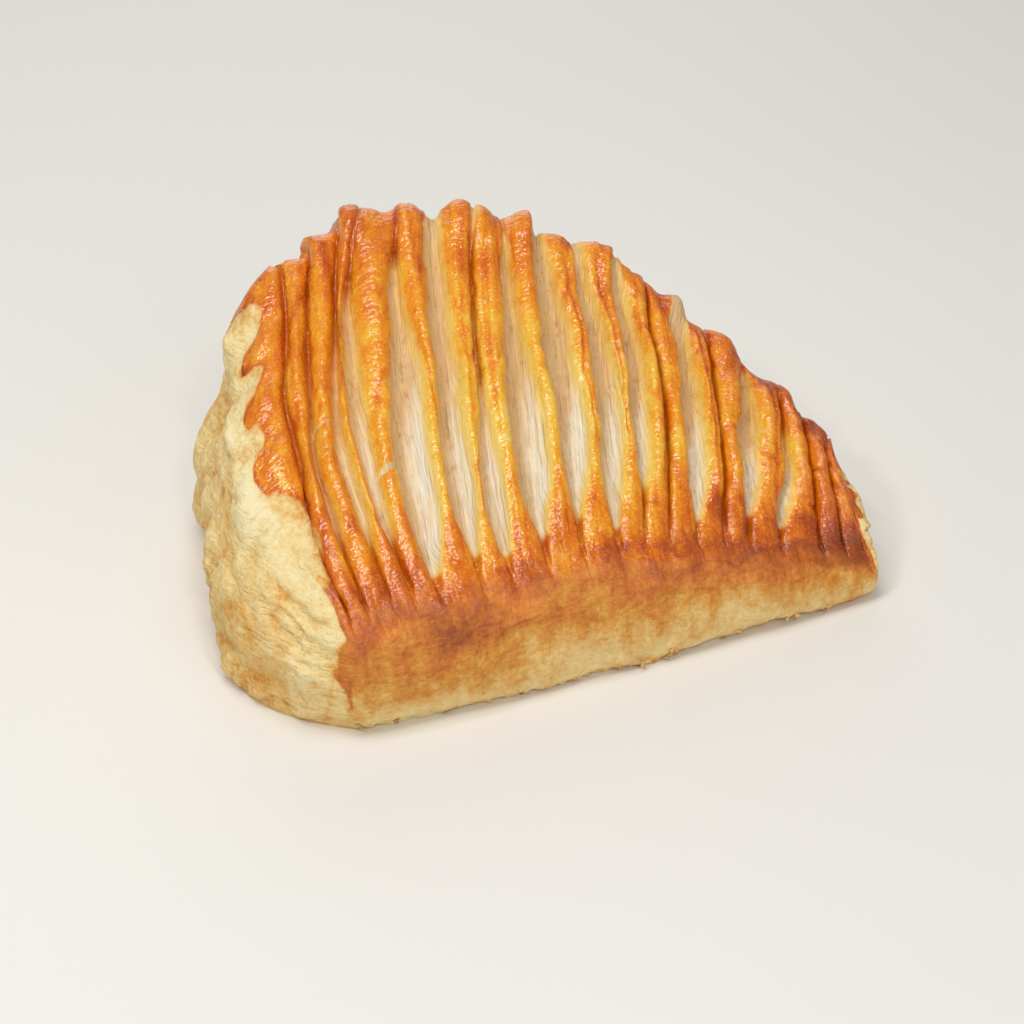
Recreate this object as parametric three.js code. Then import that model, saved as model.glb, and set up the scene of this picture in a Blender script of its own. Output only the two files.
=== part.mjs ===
// An apple turnover: a half-moon of puff pastry folded over its filling, scored across the top and baked.
// It lies on its flat base. X runs along the fold, Y goes from the fold back to the puffed rim and Z is up.
// Sizes are millimetres. The pastry is one solid, because nothing of its inside shows.
import * as THREE from "three";
import { mergeVertices } from "three/addons/utils/BufferGeometryUtils.js";

// The fold, the smooth rounded edge at the front
const FOLD_LEFT_X = -47;
const FOLD_RIGHT_X = 66.5;
const FOLD_TOP_Y = 6;
const FOLD_HEIGHT = 25.5;
const FOLD_TAPER_FROM = 0.42;
const FOLD_TAPER_DROP = 17;
const FOLD_TAPER_POWER = 1.6;
const FOLD_TAPER_SHIFT = 4;
const FOLD_FOOT_Y = 1;
const FOLD_FOOT_BOW = 3;
// How far the curve of the fold is pulled forward below and above its swell, and at what share of its height
const FOLD_LOW_PULL = { forward: 6.4, rise: 0.15 };
const FOLD_HIGH_PULL = { forward: 8, rise: 0.86 };

// The rim, the half-moon outline of the top face, and the outline of the base under it
const RIM_CENTRE_X = -10;
const RIM = { right: 78.2, left: 42, depth: 87, squareness: 3, fan: 19, fanLength: 0.08 };
const BASE = { right: 79, left: 48, depth: 92, squareness: 5, fan: 33, fanLength: 0.05 };
const RIM_START_ANGLE = 101;
const RIM_SWEEP = 91;
const RIM_LOW = 6.5;
const RIM_RISE = 54.5;
const RIM_LEFT_DROP = 8;
const RIM_RIGHT_LIFT = 4;
const RIM_LIFT_SHARES = [0.68, 0.95];

// The top face between the fold and the rim
const FACE_LEFT_BULGE = 9;
const FACE_BULGE_LENGTH = 0.1;
const FACE_CROWN = 2;

// The slits across the top: where each crosses the fold, as a share of its length from the blunt end,
// and half the gap that it opened to in the oven
const SLITS = [
  0.055, 0.092, 0.128, 0.158, 0.198, 0.253, 0.316, 0.377, 0.443, 0.511, 0.567, 0.612, 0.662, 0.715, 0.77, 0.835,
  0.91, 0.955,
];
const GAPES = [0.5, 0.6, 0.8, 1, 2.3, 2, 1.2, 2.2, 2.4, 2.1, 1.8, 0.3, 2.2, 0.3, 2, 1.6, 0.5, 0.5];
const SLIT_WANDER = 0.005;
const SLIT_PULL = 0.065;
const SLIT_PULL_UNTIL = 0.2;
const SLIT_OPEN_BY = 0.18;
const SLIT_CLOSING = 0.6;
const SLIT_DEPTH = 2.8;
const CREASE_DEPTH = 1.2;
const RIDGE_HEIGHT = 1.7;
const RIDGE_ROUNDNESS = 2.4;
// Part of a strip's steps on each side that lies in a groove, and the share of its width that a groove can take
const GROOVE_PART = 0.2;
const GROOVE_LEAST = 0.1;
const GROOVE_MOST = 0.3;
// Courses between which the scoring comes in over the fold and fades out down the rim wall
const SCORE_IN = [0.8, 1.15];
const SCORE_OUT = [2, 2.45];

// The puffed rim wall: two sheets pressed together, with a rolled crest and a toe that tucks under
const CREST_ROLL = 2.6;
const CREST_ROLL_PART = 0.16;
const KNOB_HEIGHT = 1.8;
const KNOB_LENGTH = 0.12;
const SEAM_AT = 0.72;
const SEAM_WIDTH = 0.06;
const SEAM_DEPTH = 1.6;
const SEAM_FADES_FROM = 0.85;
const TOE_PART = 0.14;
const TOE_TUCK = 3.4;
const LUMP_SIZE = 13;
const LUMP_HEIGHT = 1.1;
const FOLD_LUMPS = 0.5;

// The two ends: the blunt one is a tall wall whose foot bows out towards the fold
const BLUNT_END = { footBow: 15, footSkew: 2.1, swell: 6.2, seamAt: 0.27, seamDepth: 2.6 };
const NARROW_END = { footBow: -1, footSkew: 1, swell: -1.5, seamAt: 0.3, seamDepth: -0.5 };
const END_SEAM_WIDTH = 0.09;

// Facets
const STRIP_STEPS = [0, 0.2, 0.32, 0.5, 0.68, 0.8];
const FACE_STEPS = 18;
const SIDE_STEPS = 10;

// Middle of the finished solid's outline in the frame that the sizes above are written in
const MIDDLE = new THREE.Vector3(2.8, 44.52, 0);

const { lerp, clamp, smoothstep, degToRad } = THREE.MathUtils;
const bell = (x) => Math.exp(-x * x);

// A fixed pseudo-random value from 0 to 1 for a lattice point
function chance(a, b, c) {
  const wave = Math.sin(a * 127.1 + b * 311.7 + c * 74.7) * 43758.5453;
  return wave - Math.floor(wave);
}

// Smooth lumps from -1 to 1: lattice values blended between the eight corners of a cell
function lumps(point, size) {
  const at = [point.x / size, point.y / size, point.z / size];
  const cell = at.map(Math.floor);
  const part = at.map((x, k) => smoothstep(x - cell[k], 0, 1));
  const edge = (b, c) => lerp(chance(cell[0], b, c), chance(cell[0] + 1, b, c), part[0]);
  const side = (c) => lerp(edge(cell[1], c), edge(cell[1] + 1, c), part[1]);
  return 2 * lerp(side(cell[2]), side(cell[2] + 1), part[2]) - 1;
}

// Angle round the half-moon at a share of the fold's length: even along the rim, fanned out at the blunt end
function angleAt(share, outline) {
  return degToRad(RIM_START_ANGLE - RIM_SWEEP * share + outline.fan * Math.exp(-share / outline.fanLength));
}

// Point of a half-moon outline: a quarter ellipse to the right and a squarer quarter to the left
function outlinePoint(share, outline) {
  const angle = angleAt(share, outline);
  const c = Math.cos(angle);
  const s = Math.sin(angle);
  if (c >= 0) return new THREE.Vector3(RIM_CENTRE_X + outline.right * c, outline.depth * s, 0);
  const power = 2 / outline.squareness;
  return new THREE.Vector3(RIM_CENTRE_X - outline.left * (-c) ** power, outline.depth * s ** power, 0);
}

// Top of the rim: highest at the middle of the back and lower to both ends, with a full narrow end
function crestPoint(share) {
  const angle = angleAt(share, RIM);
  const leftward = Math.max(0, -Math.cos(angle));
  const point = outlinePoint(share, RIM);
  point.z = RIM_LOW + RIM_RISE * Math.sin(angle) - RIM_LEFT_DROP * Math.sqrt(leftward);
  point.z += RIM_RIGHT_LIFT * smoothstep(share, ...RIM_LIFT_SHARES);
  return point;
}

// Upper edge of the fold, where the slits end, dropping towards the narrow end
function foldTop(share) {
  const taper = clamp((share - FOLD_TAPER_FROM) / (1 - FOLD_TAPER_FROM), 0, 1);
  const x = lerp(FOLD_LEFT_X, FOLD_RIGHT_X, share);
  const z = FOLD_HEIGHT - FOLD_TAPER_DROP * taper ** FOLD_TAPER_POWER;
  return new THREE.Vector3(x, FOLD_TOP_Y - FOLD_TAPER_SHIFT * taper, z);
}

// Foot of the fold, bowed forward in the middle
function foldFoot(share) {
  const y = FOLD_FOOT_Y - FOLD_FOOT_BOW * Math.sin(Math.PI * share);
  return new THREE.Vector3(lerp(FOLD_LEFT_X, FOLD_RIGHT_X, share), y, 0);
}

// The fold: one curve from its foot, out over the swell and back to the foot of the slits
function foldPoint(share, part) {
  const foot = foldFoot(share);
  const top = foldTop(share);
  const low = new THREE.Vector3(foot.x, foot.y - FOLD_LOW_PULL.forward, top.z * FOLD_LOW_PULL.rise);
  const high = new THREE.Vector3(top.x, top.y - FOLD_HIGH_PULL.forward, top.z * FOLD_HIGH_PULL.rise);
  return new THREE.CubicBezierCurve3(foot, low, high, top).getPoint(part);
}

// The top face: lines from the fold to the crest, bowed outwards near the blunt end
function facePoint(share, part) {
  const point = foldTop(share).lerp(crestPoint(share), part);
  const bow = 4 * part * (1 - part);
  point.x -= FACE_LEFT_BULGE * Math.exp(-share / FACE_BULGE_LENGTH) * bow;
  point.z += FACE_CROWN * bow;
  return point;
}

// The rim wall: rolls over the crest, falls to the base, dips at the seam of the sheets and tucks in at its toe
function wallPoint(share, part) {
  const crest = crestPoint(share);
  const base = outlinePoint(share, BASE);
  const outward = new THREE.Vector3(base.x - crest.x, base.y - crest.y, 0).normalize();
  const roll = CREST_ROLL * Math.sqrt(1 - (1 - Math.min(part / CREST_ROLL_PART, 1)) ** 2);
  const seam = SEAM_DEPTH * bell((part - SEAM_AT) / SEAM_WIDTH) * (1 - smoothstep(share, SEAM_FADES_FROM, 1));
  const tuck = TOE_TUCK * smoothstep(part, 1 - TOE_PART, 1);
  return crest.lerp(base, part).addScaledVector(outward, roll - seam - tuck);
}

// Smooth skin of the pastry: course 0 to 1 is the fold, 1 to 2 the face and 2 to 3 the rim wall
function skinPoint(share, course) {
  if (course < 1) return foldPoint(share, Math.max(course, 0));
  if (course < 2) return facePoint(share, course - 1);
  return wallPoint(share, Math.min(course - 2, 1));
}

function skinNormal(share, course) {
  const step = 0.01;
  const along = skinPoint(share + step, course).sub(skinPoint(share - step, course));
  const up = skinPoint(share, course + step).sub(skinPoint(share, course - step));
  return along.cross(up).normalize();
}

// Slit number 0 is the blunt end of the face and the last is its narrow end
function slitShare(number, climb) {
  if (number === 0) return 0;
  if (number > SLITS.length) return 1;
  const share = SLITS[number - 1];
  const wander = SLIT_WANDER * (1 - climb * climb) * lumps(new THREE.Vector3(number * 5, climb * 4, 0), 1);
  return share + wander - SLIT_PULL * Math.max(0, 1 - share / SLIT_PULL_UNTIL) * (1 - climb) ** 2;
}

// Half the gap of a slit: shut at the fold, widest low on the face and narrow at the crest
function gape(number, climb) {
  if (number === 0 || number > SLITS.length) return 0;
  return GAPES[number - 1] * smoothstep(climb, 0, SLIT_OPEN_BY) * (1 - SLIT_CLOSING * climb);
}

// Share of the fold's length at a part of the way across a strip, whose edges are the middles of two slits
function acrossStrip(strip, part, climb) {
  const from = slitShare(strip, climb);
  const to = slitShare(strip + 1, climb);
  const width = (to - from) * (FOLD_RIGHT_X - FOLD_LEFT_X);
  const left = clamp(gape(strip, climb) / width, GROOVE_LEAST, GROOVE_MOST);
  const right = clamp(gape(strip + 1, climb) / width, GROOVE_LEAST, GROOVE_MOST);
  const knots = [0, left, 1 - right, 1];
  const stops = [0, GROOVE_PART, 1 - GROOVE_PART, 1];
  const k = part < GROOVE_PART ? 0 : part <= 1 - GROOVE_PART ? 1 : 2;
  const place = lerp(knots[k], knots[k + 1], (part - stops[k]) / (stops[k + 1] - stops[k]));
  return lerp(from, to, place);
}

// Height of the scored top above the smooth skin: a rounded bar between two grooves, with a knob at the crest
function scoring(strip, part, course) {
  const climb = clamp(course - 1, 0, 1);
  const reach = smoothstep(course, ...SCORE_IN) * (1 - smoothstep(course, ...SCORE_OUT));
  const bar = clamp((part - 0.5) / (0.5 - GROOVE_PART), -1, 1);
  const ridge = RIDGE_HEIGHT * (1 - Math.abs(bar) ** RIDGE_ROUNDNESS);
  const knob = KNOB_HEIGHT * chance(strip, 3, 7) * (1 - bar * bar) * bell((course - 2) / KNOB_LENGTH);
  const near = part < 0.5 ? strip : strip + 1;
  const inGroove = clamp(1 - Math.min(part, 1 - part) / GROOVE_PART, 0, 1);
  const ends = near === 0 || near > SLITS.length;
  const depth = ends ? 0 : CREASE_DEPTH + (SLIT_DEPTH * gape(near, climb)) / Math.max(...GAPES);
  return reach * (ridge + knob - depth * Math.sqrt(inGroove));
}

// Unevenness of the fold and the walls, none where they meet the base
function unevenness(point, course) {
  const onFold = FOLD_LUMPS * smoothstep(course, 0, 0.3) * (1 - smoothstep(course, 0.7, 1));
  const onWall = smoothstep(course, 2.1, 2.4) * (1 - smoothstep(course, 2.8, 3));
  return LUMP_HEIGHT * (onFold + onWall) * lumps(point, LUMP_SIZE);
}

const steps = (count) => Array.from({ length: count + 1 }, (_, k) => k / count);
const FOLD_COURSES = steps(SIDE_STEPS);
const FACE_COURSES = steps(FACE_STEPS).map((part) => 1 + part);
const WALL_COURSES = steps(SIDE_STEPS).map((part) => 2 + part);

// One line over the pastry, from the foot of the fold to the toe of the rim, at a part across a strip
function lineAt(strip, part) {
  const pointAt = (course) => {
    const share = acrossStrip(strip, part, clamp(course - 1, 0, 1));
    const point = skinPoint(share, course);
    const height = scoring(strip, part, course) + unevenness(point, course);
    if (course > 0 && course < 3) point.addScaledVector(skinNormal(share, course), height);
    return point;
  };
  return {
    fold: FOLD_COURSES.map(pointAt),
    face: FACE_COURSES.map(pointAt),
    wall: WALL_COURSES.map(pointAt),
  };
}

// Wall that closes an end: blended between its four edges, swollen, and creased along the sheets' seam
function endRows(line, end) {
  const back = [...line.wall].reverse();
  const foot = steps(FACE_STEPS).map((part) => {
    const point = line.fold[0].clone().lerp(back[0], part);
    point.x -= end.footBow * Math.sin(Math.PI * (1 - part) ** end.footSkew);
    return point;
  });
  return steps(SIDE_STEPS).map((rise, i) =>
    steps(FACE_STEPS).map((along, j) => {
      if (i === 0) return foot[j];
      if (i === SIDE_STEPS) return line.face[j];
      if (j === 0) return line.fold[i];
      if (j === FACE_STEPS) return back[i];
      const upright = foot[j].clone().lerp(line.face[j], rise);
      const level = line.fold[i].clone().lerp(back[i], along);
      const low = foot[0].clone().lerp(foot[FACE_STEPS], along);
      const high = line.face[0].clone().lerp(line.face[FACE_STEPS], along);
      const point = upright.add(level).sub(low.lerp(high, rise));
      const clear = Math.sin(Math.PI * rise) * Math.sin(Math.PI * along);
      const seam = end.seamDepth * bell((rise - end.seamAt) / END_SEAM_WIDTH);
      point.x -= clear * (end.swell - seam + Math.sign(end.swell) * LUMP_HEIGHT * lumps(point, LUMP_SIZE));
      return point;
    }),
  );
}

// Triangles over rows of points, facing the side from which the rows run left to right and the points upwards
function gridTriangles(rows) {
  const corners = [];
  for (let i = 0; i + 1 < rows.length; i++) {
    for (let j = 0; j + 1 < rows[i].length; j++) {
      const [a, b, c, d] = [rows[i][j], rows[i + 1][j], rows[i + 1][j + 1], rows[i][j + 1]];
      corners.push(a, b, c, a, c, d);
    }
  }
  return corners;
}

// The flat base: one polygon round the feet, facing down
function baseTriangles(outline) {
  const flat = outline.map((point) => new THREE.Vector2(point.x, point.y));
  const triangles = THREE.ShapeUtils.triangulateShape(flat, []);
  return triangles.flatMap(([a, b, c]) => [outline[a], outline[c], outline[b]]);
}

function pastryGeometry() {
  const strips = SLITS.length + 1;
  const lines = [];
  for (let strip = 0; strip < strips; strip++) {
    for (const part of STRIP_STEPS) lines.push(lineAt(strip, part));
  }
  lines.push(lineAt(strips - 1, 1));
  const blunt = endRows(lines[0], BLUNT_END);
  const narrow = endRows(lines[lines.length - 1], NARROW_END);
  const front = lines.map((line) => line.fold[0]);
  const back = lines.map((line) => line.wall[SIDE_STEPS]).reverse();
  const outline = [...front, ...narrow[0].slice(1, -1), ...back, ...blunt[0].slice(1, -1).reverse()];
  const corners = [
    ...gridTriangles(lines.map(({ fold, face, wall }) => [...fold, ...face.slice(1), ...wall.slice(1)])),
    ...gridTriangles(blunt),
    ...gridTriangles(narrow.map((row) => [...row].reverse())),
    ...baseTriangles(outline),
  ];
  const geometry = mergeVertices(new THREE.BufferGeometry().setFromPoints(corners));
  geometry.translate(-MIDDLE.x, -MIDDLE.y, -MIDDLE.z);
  geometry.computeVertexNormals();
  return geometry;
}

const crust = new THREE.MeshStandardMaterial({ color: 0xd0913f, roughness: 0.4, metalness: 0 });
const pastry = new THREE.Mesh(pastryGeometry(), crust);
pastry.name = "pastry";

const turnover = new THREE.Group();
turnover.name = "apple_turnover";
turnover.add(pastry);

export default turnover;
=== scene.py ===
from math import cos, pi, radians, sin
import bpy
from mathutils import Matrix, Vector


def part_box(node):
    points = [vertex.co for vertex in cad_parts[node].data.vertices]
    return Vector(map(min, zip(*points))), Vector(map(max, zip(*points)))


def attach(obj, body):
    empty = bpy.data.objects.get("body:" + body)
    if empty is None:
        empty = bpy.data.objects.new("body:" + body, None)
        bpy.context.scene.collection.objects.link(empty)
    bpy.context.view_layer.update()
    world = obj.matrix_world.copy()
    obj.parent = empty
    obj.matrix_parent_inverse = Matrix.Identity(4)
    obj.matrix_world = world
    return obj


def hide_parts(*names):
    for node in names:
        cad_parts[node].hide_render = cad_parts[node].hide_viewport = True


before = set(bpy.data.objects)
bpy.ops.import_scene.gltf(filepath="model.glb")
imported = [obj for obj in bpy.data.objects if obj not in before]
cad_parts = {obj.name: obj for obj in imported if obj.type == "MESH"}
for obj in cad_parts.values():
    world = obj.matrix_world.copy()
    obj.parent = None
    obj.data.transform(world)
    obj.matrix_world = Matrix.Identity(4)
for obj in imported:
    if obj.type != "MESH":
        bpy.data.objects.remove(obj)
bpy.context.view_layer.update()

from types import SimpleNamespace

import bmesh
import bpy
import numpy as np
from mathutils import Matrix, Vector
from mathutils.geometry import tessellate_polygon

bl_info = {
    "name": "Apple turnover",
    "version": (1, 0, 0),
    "blender": (4, 5, 0),
    "location": "3D View > Sidebar > Turnover",
    "description": "A scored puff pastry turnover with its glazed crust, loose flakes and studio stage",
    "category": "Add Mesh",
}

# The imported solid's box, and the drawing's own millimetre from the solid's length
DRAWN_LENGTH = 134.56
SOLID_LOW, SOLID_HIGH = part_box("pastry")
MM = (SOLID_HIGH.x - SOLID_LOW.x) / DRAWN_LENGTH
# Middle of the finished pastry in the frame that the sizes are drawn in
MIDDLE = np.array((2.8, 44.52, 0.0)) * MM

# The half-moon's angles in degrees, where it starts at the blunt end and how far it runs to the narrow end,
# and the place of its centre along the fold
RIM_START = 101
RIM_SWEEP = 91
RIM_CENTRE = -10 * MM

# Slits from the blunt end to the narrow end. Each row has the slit's place as a share of the fold's length
# at the fold, half way up and at the crest, then half its gap in millimetres low, half way up and high.
SLITS = np.array((
    (0.008, 0.043, 0.055, 0.2, 0.2, 0.2),
    (0.045, 0.068, 0.099, 0.5, 0.45, 0.2),
    (0.088, 0.101, 0.138, 0.7, 0.6, 0.2),
    (0.127, 0.121, 0.158, 0.8, 1.1, 0.2),
    (0.174, 0.1815, 0.205, 3.9, 2.6, 0.5),
    (0.251, 0.247, 0.2585, 2.9, 2.1, 1.5),
    (0.307, 0.3015, 0.321, 2.2, 0.4, 0.2),
    (0.377, 0.3715, 0.367, 3.3, 2.5, 0.9),
    (0.443, 0.443, 0.42, 2.6, 2.8, 2.0),
    (0.511, 0.516, 0.486, 2.3, 2.4, 1.4),
    (0.56, 0.579, 0.547, 0.9, 1.9, 1.5),
    (0.612, 0.622, 0.602, 0.2, 0.2, 0.2),
    (0.662, 0.677, 0.662, 1.9, 2.0, 1.8),
    (0.715, 0.729, 0.715, 0.2, 0.2, 0.2),
    (0.7645, 0.7865, 0.784, 1.6, 2.2, 0.9),
    (0.825, 0.861, 0.855, 1.3, 0.8, 0.2),
    (0.91, 0.915, 0.91, 0.2, 0.2, 0.2),
    (0.955, 0.955, 0.955, 0.2, 0.2, 0.2),
))
# Climbs up the face at which the three gaps are given
GAPE_HEIGHTS = (0.22, 0.5, 0.86)
# Part of a strip's width that its columns give to each groove, and the least and the most that a groove takes
GROOVE_PART = 0.2
GROOVE_LEAST = 0.06
GROOVE_MOST = 0.42
# Courses over which the scoring comes in above the fold and runs out down the rim wall
SCORE_IN = (0.86, 1.16)
SCORE_OUT = (2.0, 2.45)
# Strips whose bar has a crease down it: the strip's number and the crease's place across the bar
CREASED_STRIPS = {6: 0.25, 7: -0.3, 9: 0.2, 10: -0.2, 13: 0.2, 15: 0.3}
# Cracks across a bar: the strip's number, the place up the face and half the width
CRACKS = ((4, 0.3, 0.011), (2, 0.47, 0.004))
# Height of the crest above its smooth line in millimetres, by share of the fold's length
CREST_LINE = (
    (0, 2), (0.02, 3.8), (0.037, 1.5), (0.05, 2), (0.065, 0.5), (0.09, -1.8), (0.107, 2), (0.132, 0.2),
    (0.149, 4), (0.165, 2.1), (0.19, 0.6), (0.218, 2.1), (0.26, 0), (0.302, 3.4), (0.327, 2.9), (0.364, 0.8),
    (0.405, 3.9), (0.43, 0.1), (0.457, 1.1), (0.475, 0.8), (0.537, 3.4), (0.578, 0.6), (0.605, 1), (0.634, 0),
    (0.66, 2.2), (0.69, -1), (0.75, 1), (0.8135, -1.7), (0.87, 0.9), (0.898, -0.4), (0.95, 1.9), (1, -0.8),
)
# How deep each slit still is on the crest, as a share
CREST_SLITS = np.array((
    0, 0.6, 0.6, 0.5, 0.3, 0.1, 0.5, 0.6, 0.15, 0.6, 0.4, 0.5, 0.6, 0.1, 0.6, 0.5, 0.1, 0.6, 0.5, 0
))

# How far the glazed sheet runs over the blunt end's edge in millimetres, below 0 where it stops short:
# by the climb up the face, and by the course up the fold
TOP_EDGE = (
    (0, 2.8), (0.05, 0.6), (0.1, -1.6), (0.2, -3.4), (0.3, -3.2), (0.4, 0.5), (0.45, 1.6),
    (0.54, -1), (0.64, 0.9), (0.73, -2.4), (0.81, 1.8), (0.9, -2.8), (1, 0.6),
)
FRONT_EDGE = ((0, -1), (0.25, 0.2), (0.41, 1.5), (0.51, 4.2), (0.66, 3.4), (0.78, 0.5), (0.84, 2.4), (1, 2.8))

# Mesh steps: the width of a column and the fewest columns to a strip, the rows up the fold and down the wall,
# the rows up the face, and the power that crowds the wall's rows to the crest
STRIP_PITCH = 0.4 * MM
STRIP_LEAST = 12
SIDE_STEPS = 64
FACE_STEPS = 136
WALL_EASE = 1.4
# Rounds of softening where the fold turns into the face and where the face turns into the rim wall
FOLD_ROUNDS = 130
CREST_ROUNDS = 36
# Points on each side of an end's edge that are softened to round it off
EDGE_STEPS = 9
# Points of an end that the body doesn't already have
INNER = (slice(0, -1), slice(1, -1))
# Lengths of the fold and of one course in millimetres, as the patterns on the skin take them
FOLD_SPAN = 113
COURSE_SPAN = 80
# Depth inside a bar in millimetres, where no slit is near
FAR_INSIDE = 9.0
# Values that the crust reads from each point of a mesh
CRUST_VALUES = (
    "bake", "bloom", "glaze", "inside", "opened", "scored", "cross", "pale", "puff", "crimp", "moist"
)

# Soft lights: the setting that gives the watts, then the two sides and the place in metres
LIGHTS = (
    ("key", (0.08, 0.14), (-0.44, -0.14, 0.58)),
    ("front", (0.07, 0.08), (-0.1, -0.5, 0.56)),
    ("fill", (0.7, 0.7), (0.1, -0.8, 0.35)),
    ("back", (0.7, 0.7), (0.25, 0.8, 0.4)),
)
# Narrow lights overhead in metres: their places along the fold, their place back, their height and two sides
STRIP_PLACES = (-0.36, -0.24, -0.12, 0.0)
STRIP_BACK = -0.03
STRIP_HEIGHT = 0.72
STRIP_SIDES = (0.03, 0.3)
# Point that the lights face, half the side of the floor in metres, and the camera's sensor in millimetres
LIT_POINT = Vector((0, 0, 0.02))
FLOOR_HALF = 3.0
SENSOR_WIDTH = 36

# Flakes: rings along and points round each, random draws for each, and the zones that they lie in. A zone has
# its grid, its part of all flakes, and its ranges of columns and rows as shares.
FLAKE_RINGS = 4
FLAKE_SIDES = 6
FLAKE_DRAWS = 8
FLAKE_ZONES = (
    ("body", 0.5, 0.02, 0.98, 0.0, 0.03),
    ("body", 0.12, 0.55, 0.95, 0.02, 0.06),
    ("body", 0.2, 0.02, 0.98, 0.988, 1.0),
    ("blunt", 0.1, 0.02, 0.98, 0.01, 0.06),
    ("narrow", 0.08, 0.02, 0.6, 0.02, 0.3),
)


def mix(a, b, part):
    """Straight blend from a to b."""
    return a + (b - a) * part


def smooth(x, low, high):
    """Soft step from 0 at low to 1 at high."""
    part = np.clip((x - low) / (high - low), 0, 1)
    return part * part * (3 - 2 * part)


def bell(x):
    """A hump of height 1 at 0 that dies out past 1 on both sides."""
    return np.exp(-x * x)


def parabola(x, stops, values):
    """The parabola through three values at three stops."""
    (a, b, c), (u, v, w) = stops, values
    at_a = u * (x - b) * (x - c) / ((a - b) * (a - c))
    at_b = v * (x - a) * (x - c) / ((b - a) * (b - c))
    return at_a + at_b + w * (x - a) * (x - b) / ((c - a) * (c - b))


def chance(a, b, c):
    """A fixed pseudo-random value from 0 to 1 for a lattice point."""
    wave = np.sin(a * 127.1 + b * 311.7 + c * 74.7) * 43758.5453
    return wave - np.floor(wave)


def lumps(point, size):
    """Soft lumps from -1 to 1: chance values at the corners of a lattice, blended inside each cell."""
    at = point / np.asarray(size)
    cell = np.floor(at)
    part = smooth(at - cell, 0, 1)
    total = 0
    for corner in np.ndindex(2, 2, 2):
        weight = np.prod(np.where(corner, part, 1 - part), axis=-1)
        place = cell + corner
        total = total + weight * chance(place[..., 0], place[..., 1], place[..., 2])
    return 2 * total - 1


def crumples(point, size):
    """Sharp-backed folds from 0 to 1: one less the size of the lumps."""
    return 1 - np.abs(lumps(point, size))


def on_skin(share, course, wide, tall, layer):
    """Points of the skin laid flat, with a pattern's width along the fold and its height up it as the units.
    They are in millimetres, and each pattern has a layer of its own."""
    return points(share * FOLD_SPAN / wide, course * COURSE_SPAN / tall, layer)


def eased(x, table):
    """Value at x from a table of places and values, easing from each one to the next."""
    places, values = np.array(table).T
    k = np.clip(np.searchsorted(places, x, side="right") - 1, 0, len(places) - 2)
    return mix(values[k], values[k + 1], smooth(x, places[k], places[k + 1]))


def points(x, y, z):
    """Three arrays, spread to one shape, as points."""
    return np.stack(np.broadcast_arrays(x, y, z), axis=-1)


def unit(vector):
    """Vectors of length 1."""
    return vector / np.maximum(np.linalg.norm(vector, axis=-1, keepdims=True), 1e-12)


def distance(name, millimetres, description):
    """A length that a user can change, given in millimetres."""
    return bpy.props.FloatProperty(
        name=name, description=description, default=millimetres * MM, unit="LENGTH", subtype="DISTANCE"
    )


def portion(name, value, description):
    """A share from 0 to 1 that a user can change."""
    return bpy.props.FloatProperty(
        name=name, description=description, default=value, min=0, max=1, subtype="FACTOR"
    )


def turn(name, degrees, description):
    """An angle that a user can change, given in degrees."""
    return bpy.props.FloatProperty(
        name=name, description=description, default=radians(degrees), subtype="ANGLE"
    )


def amount(name, value, description):
    """A plain number that a user can change."""
    return bpy.props.FloatProperty(name=name, description=description, default=value)


def tint(name, red, green, blue, description):
    """A colour that a user can change, given as it looks on a screen, each part from 0 to 255."""
    light = ((np.array((red, green, blue)) / 255 + 0.055) / 1.055) ** 2.4
    return bpy.props.FloatVectorProperty(
        name=name, description=description, default=light.tolist(), min=0, max=1, subtype="COLOR"
    )


class FoldSizes(bpy.types.PropertyGroup):
    """The smooth rounded fold at the front."""

    left_end: distance("Left end", -47, "Place of the fold's blunt end")
    right_end: distance("Right end", 66.5, "Place of the fold's narrow end")
    height: distance("Height", 25.5, "Height at which the slits end")
    top_back: distance("Top setback", 6, "How far back the top of the fold lies")
    foot_back: distance("Foot setback", 1, "How far back the foot of the fold lies")
    foot_bow: distance("Foot bow", 3, "How far the foot of the fold bows forward in the middle")
    taper_from: portion("Taper from", 0.42, "Share of the length where the fold starts to sink")
    taper_drop: distance("Taper drop", 17, "How far the fold has sunk at the narrow end")
    taper_shift: distance("Taper shift", 4, "How far the sunk end comes forward")
    low_pull: distance("Low pull", 6.4, "How far the lower swell comes forward")
    high_pull: distance("High pull", 8, "How far the upper swell comes forward")


class RimOutline(bpy.types.PropertyGroup):
    """The half-moon outline of the top face."""

    right: distance("Right reach", 78.2, "Reach of the rim to the narrow end")
    left: distance("Left reach", 42, "Reach of the rim to the blunt end")
    depth: distance("Depth", 87, "Reach of the rim to the back")
    squareness: amount("Squareness", 3, "How square the blunt corner is, 2 being round")
    fan: turn("Fan", 19, "How far the strips fan out at the blunt end")
    fan_length: portion("Fan length", 0.08, "Share of the fold over which the fan dies out")
    low: distance("Low end", 6.5, "Height of the crest at its lowest")
    rise: distance("Rise", 54.5, "How far the crest rises to the back")
    left_drop: distance("Left drop", 8, "How far the crest drops to the blunt end")
    right_lift: distance("Right lift", 4, "How far the crest is lifted at the narrow end")


class BaseOutline(bpy.types.PropertyGroup):
    """The half-moon outline of the base under the rim."""

    right: distance("Right reach", 79, "Reach of the base to the narrow end")
    left: distance("Left reach", 48, "Reach of the base to the blunt end")
    depth: distance("Depth", 92, "Reach of the base to the back")
    squareness: amount("Squareness", 5, "How square the blunt corner is, 2 being round")
    fan: turn("Fan", 33, "How far the lines fan out at the blunt end")
    fan_length: portion("Fan length", 0.05, "Share of the fold over which the fan dies out")


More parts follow.
